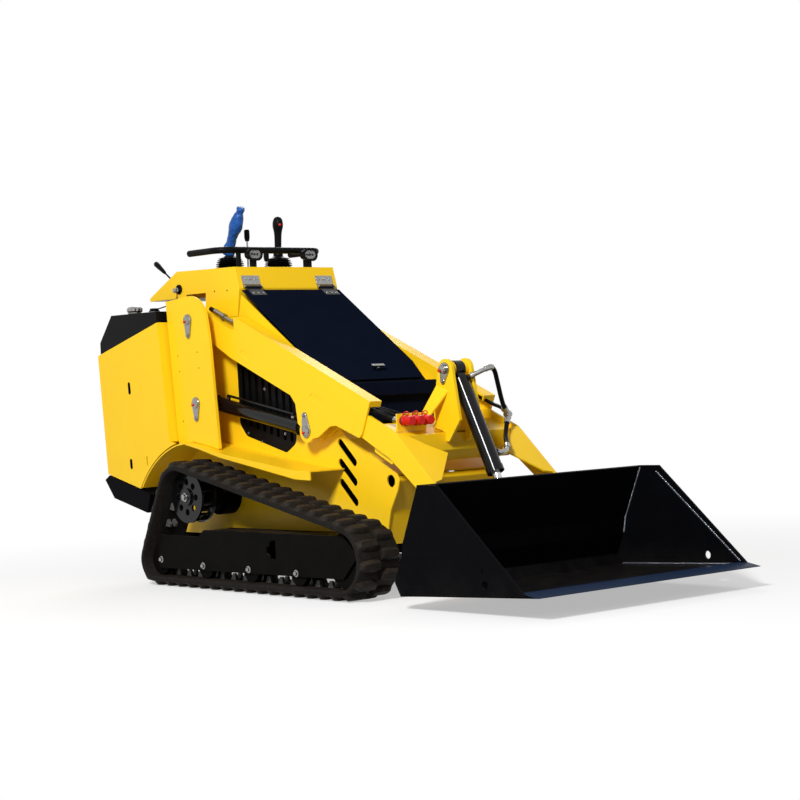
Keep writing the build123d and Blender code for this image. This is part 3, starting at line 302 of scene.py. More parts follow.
# radius in metres, and the least turn in degrees, of the nodes whose names start so
own_edges = {"arm_": (0.0012, 40), "rear_panel_": (0.0, 0), "track_frame_": (0.0006, 25)}
own_finish = {"hood": hood_navy, "front_cover": hood_navy, "hood_hinges": hinge_steel,
              "sprockets": finishes["cylinder_black"]}
for node in sorted(set(frame["nodes"]) - rebuilt):
    radius, angle = next((rule for start, rule in own_edges.items() if node.startswith(start)), (0.0012, 25))
    dress(node, radius, angle, own_finish.get(node))
print("dressed", len(frame["nodes"]) - len(rebuilt))

# %% [markdown]
# ## Two trees of Geometry Nodes
# Bolts, tread blocks, drive horns, bellows folds and weld beads are all one small shape set down
# many times, so one tree serves them all: it puts a shape on every point of a mesh, turned to that
# point's own directions. Hoses and pipes follow a line, so a second tree runs a round section
# along one.


# %% The tree that sets a shape on every point
def geometry_tree(name, inputs):
    tree, inlet, outlet = group_tree(
        name, [("Geometry", "NodeSocketGeometry", None), *inputs, ("Finish", "NodeSocketMaterial", None)],
        [("Geometry", "NodeSocketGeometry")], "GeometryNodeTree")
    tree.is_modifier = True
    return tree, inlet, outlet


def close_tree(tree, inlet, outlet, shape):
    """End a tree: real geometry in one finish."""
    real = add(tree, "GeometryNodeRealizeInstances", {"Geometry": shape})
    coated = add(tree, "GeometryNodeSetMaterial", {"Geometry": real, "Material": inlet["Finish"]})
    fill(outlet, {"Geometry": coated})


scatter, inlet, outlet = geometry_tree(
    "set_on_points",
    [("Shape", "NodeSocketObject", None), ("Jitter", FLOAT, 0.0), ("Seed", "NodeSocketInt", 7)])
held = {label: add(scatter, "GeometryNodeInputNamedAttribute", {"Name": label}, data_type="FLOAT_VECTOR")
        for label in ("out", "along", "size")}
turn = add(scatter, "FunctionNodeAxesToRotation", {0: held["out"], 1: held["along"]},
           primary_axis="Z", secondary_axis="X")
least = add(scatter, "ShaderNodeMath", {0: 1.0, 1: inlet["Jitter"]}, operation="SUBTRACT")
most = add(scatter, "ShaderNodeMath", {0: 1.0, 1: inlet["Jitter"]}, operation="ADD")
chance = add(scatter, "FunctionNodeRandomValue", {2: least, 3: most, "Seed": inlet["Seed"]},
             data_type="FLOAT")
sized = add(scatter, "ShaderNodeVectorMath", {0: held["size"], "Scale": chance.outputs[1]}, operation="SCALE")
shape = add(scatter, "GeometryNodeObjectInfo", {"Object": inlet["Shape"]})
points = add(scatter, "GeometryNodeMeshToPoints", {"Mesh": inlet["Geometry"]})
copies = add(scatter, "GeometryNodeInstanceOnPoints",
             {"Points": points, "Instance": shape.outputs["Geometry"], "Rotation": turn, "Scale": sized})
close_tree(scatter, inlet, outlet, copies)
print("tree", scatter.name, "nodes", len(scatter.nodes))

# %% The tree that runs a round section along a line
pipe, inlet, outlet = geometry_tree(
    "run_along_line", [("Radius", FLOAT, 0.008), ("Sides", "NodeSocketInt", 20)])
line = add(pipe, "GeometryNodeMeshToCurve", {"Mesh": inlet["Geometry"]})
ring = add(pipe, "GeometryNodeCurvePrimitiveCircle",
           {"Resolution": inlet["Sides"], "Radius": inlet["Radius"]})
swept = add(pipe, "GeometryNodeCurveToMesh", {"Curve": line, "Profile Curve": ring, "Fill Caps": True})
smoothed = add(pipe, "GeometryNodeSetShadeSmooth", {0: swept})
close_tree(pipe, inlet, outlet, smoothed)
print("tree", pipe.name, "nodes", len(pipe.nodes))


# %% Run a tree on a mesh
def grow(name, mesh, tree, material, **values):
    """The plain mesh that a tree makes from this one."""
    piece = link(name, mesh)
    modifier = piece.modifiers.new("grow", "NODES")
    modifier.node_group = tree
    for item in tree.interface.items_tree:
        if item.in_out == "INPUT" and item.name in values:
            modifier[item.identifier] = values[item.name]
        if item.in_out == "INPUT" and item.name == "Finish":
            modifier[item.identifier] = material
    return freeze(piece)


def set_out(name, places, source, body, slot, material=None, replaced=None, jitter=0.0, seed=7):
    """Copies of a source mesh; a place is a point, its outward and along directions, and a size."""
    mesh = bpy.data.meshes.new(name)
    mesh.from_pydata([place[0] for place in places], [], [])
    for label, column in (("out", 1), ("along", 2), ("size", 3)):
        layer = mesh.attributes.new(label, "FLOAT_VECTOR", "POINT")
        for item, place in zip(layer.data, places):
            item.vector = place[column]
    pattern = link(name + "_source", source)
    piece = grow(name, mesh, scatter, material or finishes[slot], Shape=pattern, Jitter=jitter, Seed=seed)
    bpy.data.objects.remove(pattern)
    return settle(piece, body, slot, material, replaced)


def across_of(direction):
    """Some direction square to this one."""
    helper = UPWARD if abs(direction.normalized().z) < 0.9 else FORWARD
    return helper.cross(direction).normalized()


# %% [markdown]
# ## Small turned and cut shapes
# Most fittings on a machine come off a lathe or a saw. A turned piece is a profile of radii and
# heights spun round an axis, and a cut piece is an outline pulled up to a thickness. A belt, a rim
# or a grip is a skin over rings of points. All are written as lists of points and faces, so that
# several can be joined in one mesh.


# %% Turned shapes
mm = 0.001


def lathe(profile, origin=(0, 0, 0), axis=(0, 0, 1), sides=32):
    """Spin (radius, height) pairs, from the axis to the axis, round an axis."""
    axis = Vector(axis).normalized()
    first = across_of(axis)
    second = axis.cross(first)
    points, faces, rings = [], [], []
    for radius, height in profile:
        middle = Vector(origin) + axis * height
        if radius <= 0:
            rings.append([len(points)] * sides)
            points.append(middle)
            continue
        rings.append(range(len(points), len(points) + sides))
        for step in range(sides):
            angle = math.tau * step / sides
            points.append(middle + (first * math.cos(angle) + second * math.sin(angle)) * radius)
    for low, high in zip(rings, rings[1:]):
        for step in range(sides):
            after = (step + 1) % sides
            loop = [low[step], low[after], high[after], high[step]]
            face = [corner for index, corner in enumerate(loop) if corner not in loop[:index]]
            if len(face) > 2:
                faces.append(face)
    return points, faces


def shifted(shape, place):
    """A shape drawn in millimetres, set down at a place."""
    return [place + Vector(point) * mm for point in shape[0]], shape[1]


def turned(profile, place, axis=UPWARD, sides=32, origin=(0, 0, 0)):
    """A turned shape drawn in millimetres, set down at a place."""
    return shifted(lathe(profile, origin, axis, sides), place)


# %% Cut shapes and skins
def prism(bottom, top):
    """A closed shape between two outlines of equally many points, counterclockwise from above."""
    count = len(bottom)
    sides = [(step, (step + 1) % count, count + (step + 1) % count, count + step) for step in range(count)]
    faces = [tuple(reversed(range(count))), tuple(range(count, 2 * count)), *sides]
    return [Vector(point) for point in (*bottom, *top)], faces


def plate(outline, origin, first, second, thickness):
    """A flat plate: an outline in the plane of two directions, thick along their cross product."""
    first, second = Vector(first).normalized(), Vector(second).normalized()
    rise = first.cross(second) * thickness
    low = [Vector(origin) + first * u + second * v for u, v in outline]
    return prism(low, [point + rise for point in low])


def oblong(length, width, steps=8):
    """Outline of a slot: two half circles joined by straight sides."""
    radius, reach = width / 2, (length - width) / 2
    outline = []
    for side in (1, -1):
        for step in range(steps + 1):
            angle = math.pi * step / steps - math.pi / 2
            outline.append((side * (reach + radius * math.cos(angle)), side * radius * math.sin(angle)))
    return outline


def skin(rings, closed=True):
    """Faces from ring to ring of equally many points; the last ring meets the first, or both are capped."""
    count, rows = len(rings[0]), len(rings)
    faces = []
    for row in range(rows if closed else rows - 1):
        low, high = row * count, (row + 1) % rows * count
        for step in range(count):
            after = (step + 1) % count
            faces.append((low + step, low + after, high + after, high + step))
    if not closed:
        faces.append(tuple(reversed(range(count))))
        faces.append(tuple(range((rows - 1) * count, rows * count)))
    return [point for ring in rings for point in ring], faces


# %% Shapes joined in one mesh
def joined(name, shapes):
    points, faces = [], []
    for places, loops in shapes:
        start = len(points)
        points += places
        faces += [[start + index for index in loop] for loop in loops]
    mesh = bpy.data.meshes.new(name)
    mesh.from_pydata(points, [], faces)
    return mesh


def merge(name, shapes, body, slot, material=None, replaced=None, radius=0.0, angle=35):
    """One piece from several shapes."""
    mesh = joined(name, shapes)
    work = bmesh.new()
    work.from_mesh(mesh)
    bmesh.ops.recalc_face_normals(work, faces=work.faces)
    work.to_mesh(mesh)
    work.free()
    piece = link(name, mesh)
    if radius:
        bevel(piece, radius)
    smooth(piece.data, angle)
    return settle(piece, body, slot, material, replaced)


def source_mesh(name, shapes, angle=35):
    """A mesh for the scatter tree."""
    mesh = joined(name, shapes)
    smooth(mesh, angle)
    return mesh


# %% A bolt with its washer
def bolt_shapes(head=0.006, rise=0.005, washer=0.009):
    top = rise + 0.001
    disc = lathe([(0, 0), (washer, 0), (washer, 0.0012), (washer * 0.95, 0.0016), (0, 0.0016)], sides=20)
    cap = lathe([(0, 0.001), (head, 0.001), (head, rise), (head * 0.82, top), (0, top)], sides=6)
    return [disc, cap]


def bolts(name, places, body, **sizes):
    """Bolts at points, each with the direction that its head faces."""
    rows = [(point, out, across_of(out), (1, 1, 1)) for point, out in places]
    return set_out(name, rows, source_mesh(name + "_bolt", bolt_shapes(**sizes)), body, "pin_steel")


# %% [markdown]
# ## Rubber tracks
# Each track is an endless rubber belt with two staggered rows of tread blocks outside and a row of
# drive horns inside, moulded round steel cores. The belt is one section carried round three
# wheels: a small idler behind, a large one in front and the raised sprocket. Its line is three arcs
# joined by straight runs, so code walks it by distance, and the scatter tree sets down the blocks.

# %% The line round the three wheels
belt_wheels = [(488, 98, 80), (1636, 140, 122), (662, 342, 124)]     # station, height, radius of the belt
lug_rise, belt_thickness, horn_rise = 17.4, 20, 23
track_middle, track_half, shoe_pitch = 410, 90, 72


def loop_legs():
    headings = []
    for (x0, z0, r0), (x1, z1, r1) in zip(belt_wheels, belt_wheels[1:] + belt_wheels[:1]):
        span = math.hypot(x1 - x0, z1 - z0)
        headings.append((math.atan2(z1 - z0, x1 - x0) + math.asin((r0 - r1) / span), span, r0 - r1))
    legs = []
    for index, (x, z, r) in enumerate(belt_wheels):
        heading, span, step = headings[index]
        start = headings[index - 1][0] - math.pi / 2
        turn = (heading - math.pi / 2 - start) % math.tau
        legs.append(("arc", x, z, r, start, turn, r * turn))
        run = math.sqrt(span**2 - step**2)
        legs.append(("run", x, z, r, heading, run, run))
    return legs


legs = loop_legs()
loop_length = sum(leg[-1] for leg in legs)
shoe_count = round(loop_length / shoe_pitch)
shoe_pitch = loop_length / shoe_count


def on_loop(distance, out=0.0):
    """Station and height at this distance round the belt, and the outward direction there."""
    distance %= loop_length
    for kind, x, z, r, angle, size, length in legs:
        if distance <= length:
            break
        distance -= length
    along = 0.0
    if kind == "arc":
        angle += size * distance / length
    else:
        angle -= math.pi / 2
        along = distance
    outward = Vector((math.cos(angle), 0, math.sin(angle)))
    travel = Vector((-math.sin(angle), 0, math.cos(angle)))
    place = Vector((x, 0, z)) + outward * (r + out) + travel * along
    return place, outward, travel


print("belt", round(loop_length), "mm,", shoe_count, "shoes")

# %% A tread block and a pair of drive horns
def scaled(points):
    return [Vector(point) * mm for point in points]


def lug_mesh(name, flip):
    """A block from the belt's middle to its edge, lower and narrower at the edge, with a skewed top."""
    foot = [(-21, -41), (21, -41), (24, -10), (20, 34), (14, 45), (-12, 45), (-21, 30), (-24, -8)]
    top = [(-9, -38), (13, -38), (15, -10), (11, 22), (7, 34), (-6, 34), (-12, 22), (-12, -8)]
    low = [(x, y * flip, -3) for x, y in foot]
    high = [(x, y * flip, lug_rise - (3 if y > 30 else 0)) for x, y in top]
    if flip < 0:
        low.reverse()
        high.reverse()
    mesh = source_mesh(name, [prism(scaled(low), scaled(high))], 20)
    holder = link(name + "_bevel", mesh)
    bevel(holder, 0.0022, 20)
    mesh = holder.data
    smooth(mesh, 30)
    bpy.data.objects.remove(holder)
    return mesh


def horn_mesh(name):
    shapes = []
    for middle in (-12.5, 12.5):
        low = [(-15, middle - 7, -2), (15, middle - 7, -2), (15, middle + 7, -2), (-15, middle + 7, -2)]
        high = [(-7, middle - 5, horn_rise), (7, middle - 5, horn_rise), (7, middle + 5, horn_rise),
                (-7, middle + 5, horn_rise)]
        shapes.append(prism(scaled(low), scaled(high)))
    return source_mesh(name, shapes)


# %% A belt's section, and a row of one place per shoe
belt_steps = 4 * shoe_count
section = [(-track_half, -3), (-track_half + 3, 0), (track_half - 3, 0), (track_half, -3),
           (track_half, 3 - belt_thickness), (track_half - 3, -belt_thickness),
           (3 - track_half, -belt_thickness), (-track_half, 3 - belt_thickness)]


def belt_ring(distance, side):
    """The section's points at this distance round the belt."""
    ring = []
    for offset, out in section:
        place = on_loop(distance, out)[0]
        ring.append(at(place.x, side * track_middle + offset, place.z))
    return ring


def shoe_row(shift, middle, out=0.0, facing=1):
    """Places at this many shoes from the start, this far from the machine's middle plane."""
    rows = []
    for shoe in range(shoe_count):
        place, outward, travel = on_loop((shoe + shift) * shoe_pitch, out)
        rows.append((at(place.x, middle, place.z), outward * facing, travel, (1, 1, 1)))
    return rows


# %% The tracks
for name, side in SIDES.items():
    node = "track_" + name
    rings = [belt_ring(loop_length * step / belt_steps, side) for step in range(belt_steps)]
    # the belt takes the darker rubber, painted shade of the gaps between the tread blocks
    merge("belt_" + name, [skin(rings)], "chassis", "track_rubber", gap_shade_rubber, node, angle=50)
    for label, outer, shift in (("inner", -1, 0.0), ("outer", 1, 0.5)):
        # the block's +Y end lies to the left of travel seen from outside, which is the machine's right
        flip = -1 if side * outer > 0 else 1
        rows = shoe_row(shift, side * (track_middle + outer * track_half / 2))
        block = lug_mesh(f"lug_{label}_{name}", flip)
        set_out(f"tread_{label}_{name}", rows, block, "chassis", "track_rubber", replaced=node)
    rows = shoe_row(0.25, side * track_middle, -belt_thickness, facing=-1)
    set_out("horns_" + name, rows, horn_mesh("horn_" + name), "chassis", "track_rubber", horn_grey, node)
    print(node, "shoes", shoe_count)

# %% [markdown]
# ## Bolts, pin keepers and small holes
# The track frames are bolted up, the grilles and hinges are held by screws, and every pivot pin is
# kept from turning by a drop-shaped plate with a bolt in its tail and a red-capped grease fitting
# in its head. All the bolts are one shape on many points, so the scatter tree sets them. A small
# hole could be cut with a Boolean, but a thin disc of painted shade laid on the plate, dark like
# the hole's shaded inside, shows the same and leaves the plate's faces whole.

# %% Bolts of the undercarriage, the grilles and the hood's hinges
hood_rear, hood_front = (795, 1126), (1316, 763)     # station and height of the hood's ends
hood_slope = math.atan2(hood_rear[1] - hood_front[1], hood_front[0] - hood_rear[0])
hood_along = Vector((math.cos(hood_slope), 0, -math.sin(hood_slope)))
hood_out = Vector((math.sin(hood_slope), 0, math.cos(hood_slope)))
face_rise = Vector((-24, 0, 83)).normalized()        # up the console's front face
face_out = Vector((face_rise.z, 0, -face_rise.x))
frame_spots = ((508, 100), (789, 87), (1077, 86), (1363, 85))
grille_spots = ((912, 742), (796, 576), (1030, 572), (880, 543))
frame_bolts, grille_screws, hinge_screws, bracket_screws = [], [], [], []
for side in SIDES.values():
    outwards = LEFTWARD * side
    frame_bolts += [(at(station, side * 470, height), outwards) for station, height in frame_spots]
    grille_screws += [(at(station, side * 238, height), outwards) for station, height in grille_spots]
    for turn in (-24, 0, 24):
        middle = side * 180 + turn
        hinge = at(hood_rear[0], middle, hood_rear[1])
        hinge_screws.append((hinge + (hood_along * 30 + hood_out * 3.3) * mm, hood_out))
        bracket_screws.append((at(781, middle, 1134) + (face_rise * 35 + face_out * 3.3) * mm, face_out))
bolts("track_frame_bolts", frame_bolts, "chassis", head=0.0085, rise=0.008, washer=0.013)
bolts("grille_screws", grille_screws, "chassis", head=0.004, rise=0.003, washer=0.006)
bolts("hinge_screws", hinge_screws, body_of["hood_hinges"], head=0.004, rise=0.0025, washer=0.0055)
bolts("bracket_screws", bracket_screws, "chassis", head=0.004, rise=0.0025, washer=0.0055)
print("bolts", len(frame_bolts), "screws", len(grille_screws + hinge_screws + bracket_screws))

# %% The sprockets' hub nuts
hub_profile = [(0, -2), (17, -2), (17, 3), (12, 4), (12, 12), (9, 14), (0, 14)]
hubs = [turned(hub_profile, at(662, side * 452.5, 342), LEFTWARD * side, 24) for side in SIDES.values()]
merge("hub_nuts", hubs, "chassis", "pin_steel")

# %% Pin keepers: a domed head, a red cap and a bolt in the tail
tail_reach = 58
dome_profile = [(0, 0), (19, 0), (18, 3), (12, 5.5), (0, 6.5)]
cap_profile = [(0, 0), (5.5, 0), (5.5, 9), (4, 11), (0, 11)]
# where a pin is, where it ends, where its plate's face lies, the plate's turn in degrees, and its body
pin_ends = [((600, 1020), 368, 366.3, 0, "chassis"), ((632, 698), 368, 366.3, 0, "chassis"),
            ((1243, 583), 308.3, 308.3, 186, "boom")]
domes, caps, tails = ({"chassis": [], "boom": []} for _ in range(3))
for side in SIDES.values():
    outwards = LEFTWARD * side
    for (station, height), pin_end, face, turn, body in pin_ends:
        lean = math.radians(turn)
        tail = at(station + tail_reach * math.sin(lean), side * face, height - tail_reach * math.cos(lean))
        domes[body].append(turned(dome_profile, at(station, side * pin_end, height), outwards, 36))
        caps[body].append(turned(cap_profile, at(station - 5, side * pin_end, height - 6), outwards, 20))
        tails[body].append((tail, outwards))

# %% The tilt pin's keeper, whose plate joins the keeper heads
tilt_face = 53.4
drop = []
for middle_x, middle_z, radius, start, end in ((0, 0, 25, -20, 200), (-9, -42, 11, 200, 340)):
    for step in range(13):
        angle = math.radians(start + (end - start) * step / 12)
        drop.append(((middle_x + radius * math.cos(angle)) * mm, (middle_z + radius * math.sin(angle)) * mm))
small_dome = [(0, 0), (13.6, 0), (12.75, 2.125), (8.5, 3.4), (0, 4.25)]
domes["boom"] += [turned(small_dome, at(1732, -70, 786), -LEFTWARD, 36),
                  plate(drop, at(1732, -tilt_face, 786), FORWARD, UPWARD, 0.005)]
caps["boom"].append(turned(cap_profile, at(1727, -70, 781), -LEFTWARD, 20))
tails["boom"].append((at(1723, -tilt_face - 5, 744), -LEFTWARD))
for body in ("chassis", "boom"):
    merge(f"keeper_heads_{body}", domes[body], body, "pin_steel")
    merge(f"grease_caps_{body}", caps[body], body, "coupler_red")
    bolts(f"keeper_bolts_{body}", tails[body], body, head=0.006, rise=0.006, washer=0.009)
print("keepers", len(tails["chassis"]) + len(tails["boom"]))

# %% Painted shade for the small drilled holes in the towers and the console, and for the slots of the rear panels
tower_spots = ((519, 884), (651, 895), (526, 824), (658, 834), (537, 630))
console_spots = ((618, 1131), (702, 1129))
panel_slots = ((224, 767, 50), (215, 464, 42))       # station, height and length
shapes = []
for side in SIDES.values():
    for spots, face, radius in ((tower_spots, 360.2, 2.6), (console_spots, 242.2, 3.6)):
        disc = [(0, -0.4), (radius, -0.4), (radius, 0.1), (0, 0.1)]
        for station, height in spots:
            shapes.append(turned(disc, at(station, side * face, height), LEFTWARD * side, 16))
for side in SIDES.values():
    for station, height, length in panel_slots:
        slot = [(-v * mm, u * mm) for u, v in oblong(length, 17)]
        origin = at(station, 400.4 if side > 0 else -400.0, height)
        shapes.append(plate(slot, origin, (1, 0, 0.087), (-0.087, 0, 1), 0.0004))
# the holes and slots are not cut; these flat dark discs and oblongs are their painted shade
merge("drilled_holes", shapes, "chassis", "black_plastic", hole_shade_paint)
print("holes and slots", len(shapes))

# %% [markdown]
# ## Controls
# The driver walks or rides behind the console and holds a thick bar. Two sticks rise from rubber
# bellows, one of them still in its blue shipping film, and short levers stand beside them.
# A stick's grip is a stack of round sections that change size and lean, and its film gets
# a little noise on its points. Each bellows is a cone with thin discs set on it by the scatter tree.


# %% A body of round sections along a line
def limb(sections, sides=28, crumple=0.0):
    """Rings of (centre, axis, radius along, radius across), closed at both ends."""
    grain = 70.0
    rings = []
    for centre, axis, radius_along, radius_across in sections:
        first = LEFTWARD.cross(axis).normalized()
        ring = []
        for step in range(sides):
            angle = math.tau * step / sides
            place = centre + first * radius_along * math.cos(angle)
            place += LEFTWARD * radius_across * math.sin(angle)
            push = (place - centre).normalized() * noise.noise(place * grain) * crumple
            ring.append(place + push)
        rings.append(ring)
    return skin(rings, closed=False)


def eased(a, b, c, d, t):
    """A smooth curve from b to c as t goes from 0 to 1, with a before them and d beyond."""
    bend, twist = 2 * a - 5 * b + 4 * c - d, 3 * b - a - 3 * c + d
    return 0.5 * (2 * b + (c - a) * t + bend * t * t + twist * t**3)


def finer(table, steps=4):
    """Rows between the rows of a table of numbers, eased along a smooth curve."""
    rows, last = [], len(table) - 1
    for index in range(last):
        near = [table[max(0, min(index + shift, last))] for shift in (-1, 0, 1, 2)]
        for step in range(steps):
            rows.append(tuple(eased(*column, step / steps) for column in zip(*near)))
    return rows + [tuple(table[-1])]


def grip(foot, lean, table, **look):
    """A stick's grip from a table of height, radius along the machine and radius across it."""
    axis = Vector((math.sin(lean), 0, math.cos(lean)))
    rows = finer(table)
    return limb([(foot + axis * height * mm, axis, rx * mm, ry * mm) for height, rx, ry in rows], **look)


# %% The sticks
boot_floor, boot_height, stick_station, stick_side = 1222.4, 52, 560, 120
boot_top = boot_floor + boot_height
wrapped_table = [(-6, 20, 20), (0, 27, 26), (8, 27, 26), (22, 23, 22), (42, 19, 19), (64, 18, 19),
                 (86, 21, 21), (106, 27, 25), (126, 29, 26), (144, 26, 23), (160, 20, 19), (174, 15, 15),
                 (182, 15, 15), (192, 17, 16), (200, 14, 13), (201, 4, 4)]
bare_table = [(0, 18, 18), (3, 20, 20), (12, 18, 18), (24, 14, 14), (50, 14, 14), (84, 15, 15),
              (102, 18, 17), (116, 22, 20), (132, 23, 20), (146, 20, 17), (155, 13, 12), (159, 4, 4)]
wrapped_foot = at(stick_station - 12, -stick_side, boot_top + 12)
wrapped_grip = grip(wrapped_foot, math.radians(31), wrapped_table, crumple=0.0035, sides=40)
bare_grip = grip(at(stick_station, stick_side, boot_top + 1), math.radians(3), bare_table)
button = turned([(0, 0), (5, 0), (5, 4), (4, 5.5), (0, 6)],
                at(stick_station + 24, stick_side - 5, boot_top + 126), (1, -0.25, 0), 20)
stick_body = body_of["joysticks"]
wrapped = merge("wrapped_grip", [wrapped_grip], stick_body, "black_plastic", wrap_blue, "joysticks", angle=60)
bare = merge("bare_grip", [bare_grip], stick_body, "black_plastic", replaced="joysticks", angle=60)
merge("thumb_button", [button], stick_body, "coupler_red", button_red)
print("grips", len(wrapped.data.polygons), "and", len(bare.data.polygons), "faces")

# %% The bellows
core_profile = [(0, 0), (58, 0), (58, 5), (54, 7), (46, 9), (38, 44), (24, 49), (21, 52), (0, 52)]
core_profile = [(radius * mm, height * mm) for radius, height in core_profile]
fold_profile = [(0, -0.003), (0.8, -0.0026), (0.97, -0.0012), (1, 0), (0.97, 0.0012), (0.8, 0.0026),
                (0, 0.003)]
cores, folds = [], []
for side in SIDES.values():
    foot = at(stick_station, side * stick_side, boot_floor)
    cores.append(lathe(core_profile, foot, UPWARD, 48))
    for height, radius in ((13, 57), (20, 56), (27, 54), (34, 51), (41, 46)):
        folds.append((foot + UPWARD * height * mm, UPWARD, FORWARD, (radius * mm, radius * mm, 1)))
merge("bellows_cores", cores, "chassis", "black_plastic", replaced="control_boots")
fold = source_mesh("fold", [lathe(fold_profile, sides=48)], 60)
set_out("bellows_folds", folds, fold, "chassis", "black_plastic", replaced="control_boots")
print("bellows folds", len(folds))

# %% The levers and the key switch
knob_profile = [(0, 0), (7, 0), (9, 4), (11, 14), (11, 40), (9, 46), (0, 48)]
side_stem = [(0, 0), (8, 0), (8, 5), (3.5, 8), (3.5, 66), (0, 66)]
side_handle = [(0, 54), (5.5, 54), (7, 62), (11, 112), (11.5, 126), (8.5, 133), (0, 135)]
switch_ring = [(0, 0), (19, 0), (19, 5), (16, 6), (15, 2), (0, 2)]
rods, knobs = [], []
for station, side, height in ((585, -50, 110), (600, 30, 30)):
    # the console's top falls 8 mm over its 394 mm
    foot = at(station, side, 1225 - 8 * (station - 363) / 394 + 0.3)
    rod_profile = [(0, 0), (9, 0), (9, 4), (3.5, 6), (3.5, height + 2), (0, height + 2)]
    rods.append(turned(rod_profile, foot, sides=20))
    knobs.append(turned(knob_profile, foot, sides=24, origin=(0, 0, height)))
slope_foot, switch = at(302, -226, 1196.4), at(378, -242.3, 1153)
reach_back = Vector((-0.83, 0, 0.558)).normalized()
knobs += [turned(side_stem, slope_foot, reach_back, 20), turned(side_handle, slope_foot, reach_back, 24),
          turned(switch_ring, switch, -LEFTWARD, 40)]
merge("lever_rods", rods, "chassis", "pin_steel", replaced="levers")
merge("lever_knobs", knobs, "chassis", "black_plastic", replaced="levers")
print("levers", len(rods) + 1)

# %% The lock, the key and its tag
lock_profile = [(0, 0), (11, 0), (11, 9), (8, 11), (8, 16), (5, 18), (0, 18)]
lock = turned(lock_profile, switch, -LEFTWARD, 28, (-7, 0, -3))
key_outline = [(-7, -9), (4, -9), (6, 0), (4, 9), (-7, 9)]
key = shifted(plate(key_outline, (-12, -18, -4), FORWARD, UPWARD, 2.0), switch)
merge("key_lock", [lock, key], "chassis", "pin_steel")
tag_outline = [(-6, -10), (6, -10), (7, 8), (-7, 8)]
tag = shifted(plate(tag_outline, (-10, -14, -22), FORWARD, UPWARD, 1.2), switch)
merge("key_tag", [tag], "chassis", "machine_yellow")

# %% [markdown]
# ## Work lamps
# Each lamp is an oblong housing with a bright dish behind a clear lens, and three small bulbs.
# A rim and a dish are both rings of one outline at several scales and depths, so one skin makes
# either, and the lens is a thin plate of real glass in front, which lets the dish shine through.

# %% The lamps' rims, dishes, bulbs and lenses
lamp_outline = [(u * mm, v * mm) for u, v in oblong(60, 38, 12)]
rim_rows = [(1.0, 5.6), (1.0, 0.8), (0.84, 0.8), (0.84, 5.6)]        # scale, and depth behind the face
dish_rows = [(0.83, 1.6), (0.66, 3.4), (0.42, 4.8), (0.2, 5.2), (0.2, 5.8), (0.83, 5.8)]
bulb_profile = [(0, 0), (4.5, 0), (4.5, 2.4), (2.5, 3.6), (0, 3.6)]


def lamp_ring(face, scale, depth):
    return [face + LEFTWARD * u * scale + UPWARD * v * scale - FORWARD * depth * mm for u, v in lamp_outline]


rims, dishes, lenses, bulbs = [], [], [], []
for side in SIDES.values():
    face = at(752, side * 136, 1267.1)
    rims.append(skin([lamp_ring(face, *row) for row in rim_rows]))
    dishes.append(skin([lamp_ring(face, *row) for row in dish_rows]))
    for shift in (-13, 0, 13):
        bulbs.append(turned(bulb_profile, face + LEFTWARD * shift * mm - FORWARD * 5.2 * mm, FORWARD, 16))
    lenses.append(prism(lamp_ring(face, 0.835, 1.4), lamp_ring(face, 0.835, 0.7)))
merge("lamp_rims", rims, "chassis", "black_plastic", finishes["cylinder_black"])
merge("lamp_dishes", dishes, "chassis", "pin_steel")
merge("lamp_bulbs", bulbs, "chassis", "black_plastic")
merge("lamp_lenses", lenses, "chassis", "rod_chrome", lens_glass)
print("lamps", len(rims), "bulbs", len(bulbs))

# %% [markdown]
# ## Caps on the rear tank
# The filler cap is a plated knob with finger lobes, on a short black neck. The smaller one is
# a flat black breather with a thin rod beside it. The lobed outline is a circle whose radius swings
# as it goes round, stacked at a few sizes, and everything round is turned.

# %% Filler cap and breather
tank_top, cap_side = 1064.3, -320
filler, breather = at(166, cap_side, tank_top), at(308, cap_side, tank_top)
lobes = []
for step in range(96):
    angle = math.tau * step / 96
    radius = (28.5 + 4.0 * abs(math.cos(4 * angle)) ** 0.6) * mm
    lobes.append((radius * math.cos(angle), radius * math.sin(angle)))


def lobe_ring(scale, height):
    return [at(166, cap_side, tank_top + height) + Vector((u * scale, v * scale, 0)) for u, v in lobes]


cap = [prism(lobe_ring(0.95, 10), lobe_ring(1.0, 14)), prism(lobe_ring(1.0, 14), lobe_ring(1.0, 24)),
       prism(lobe_ring(1.0, 24), lobe_ring(0.82, 30)),
       turned([(0, 30), (20, 30), (17, 32), (0, 32)], filler),
       turned([(0, 5), (29, 5), (29, 8), (0, 8)], filler, sides=40),
       turned([(0, 0), (20, 0), (20, 5), (0, 5)], breather)]
breather_profile = [(0, 5), (22, 5), (22, 8), (18, 10), (18, 17), (12, 18), (0, 18)]
rod_profile = [(0, 0), (2.5, 0), (2.5, 62), (0, 62)]
necks = [turned([(0, 0), (27, 0), (27, 10.5), (0, 10.5)], filler, sides=40),
         turned(breather_profile, breather, sides=36),
         turned(rod_profile, breather, (0.98, 0, 0.12), 12, (14, 6, 14))]
merge("filler_cap", cap, body_of["tank_caps"], "pin_steel", replaced="tank_caps")
merge("tank_necks", necks, body_of["tank_caps"], "black_plastic", replaced="tank_caps")
print("cap outline", len(lobes), "points")

# %% [markdown]
# ## Hoses, ferrules and couplers
# Oil reaches the bucket's cylinder and the tool couplers through black hoses with plated ends.
# Each hose is a smooth spline through the same corners as its solid, turned into a line of points,
# and the second tree runs a round section along it. A ferrule is a wider sleeve on a stretch
# of the same line, so it always lies true. Red caps with loops keep dirt out of the couplers.
# The fittings in the arms' notches and beside the drive motors are short lines of the same kind.


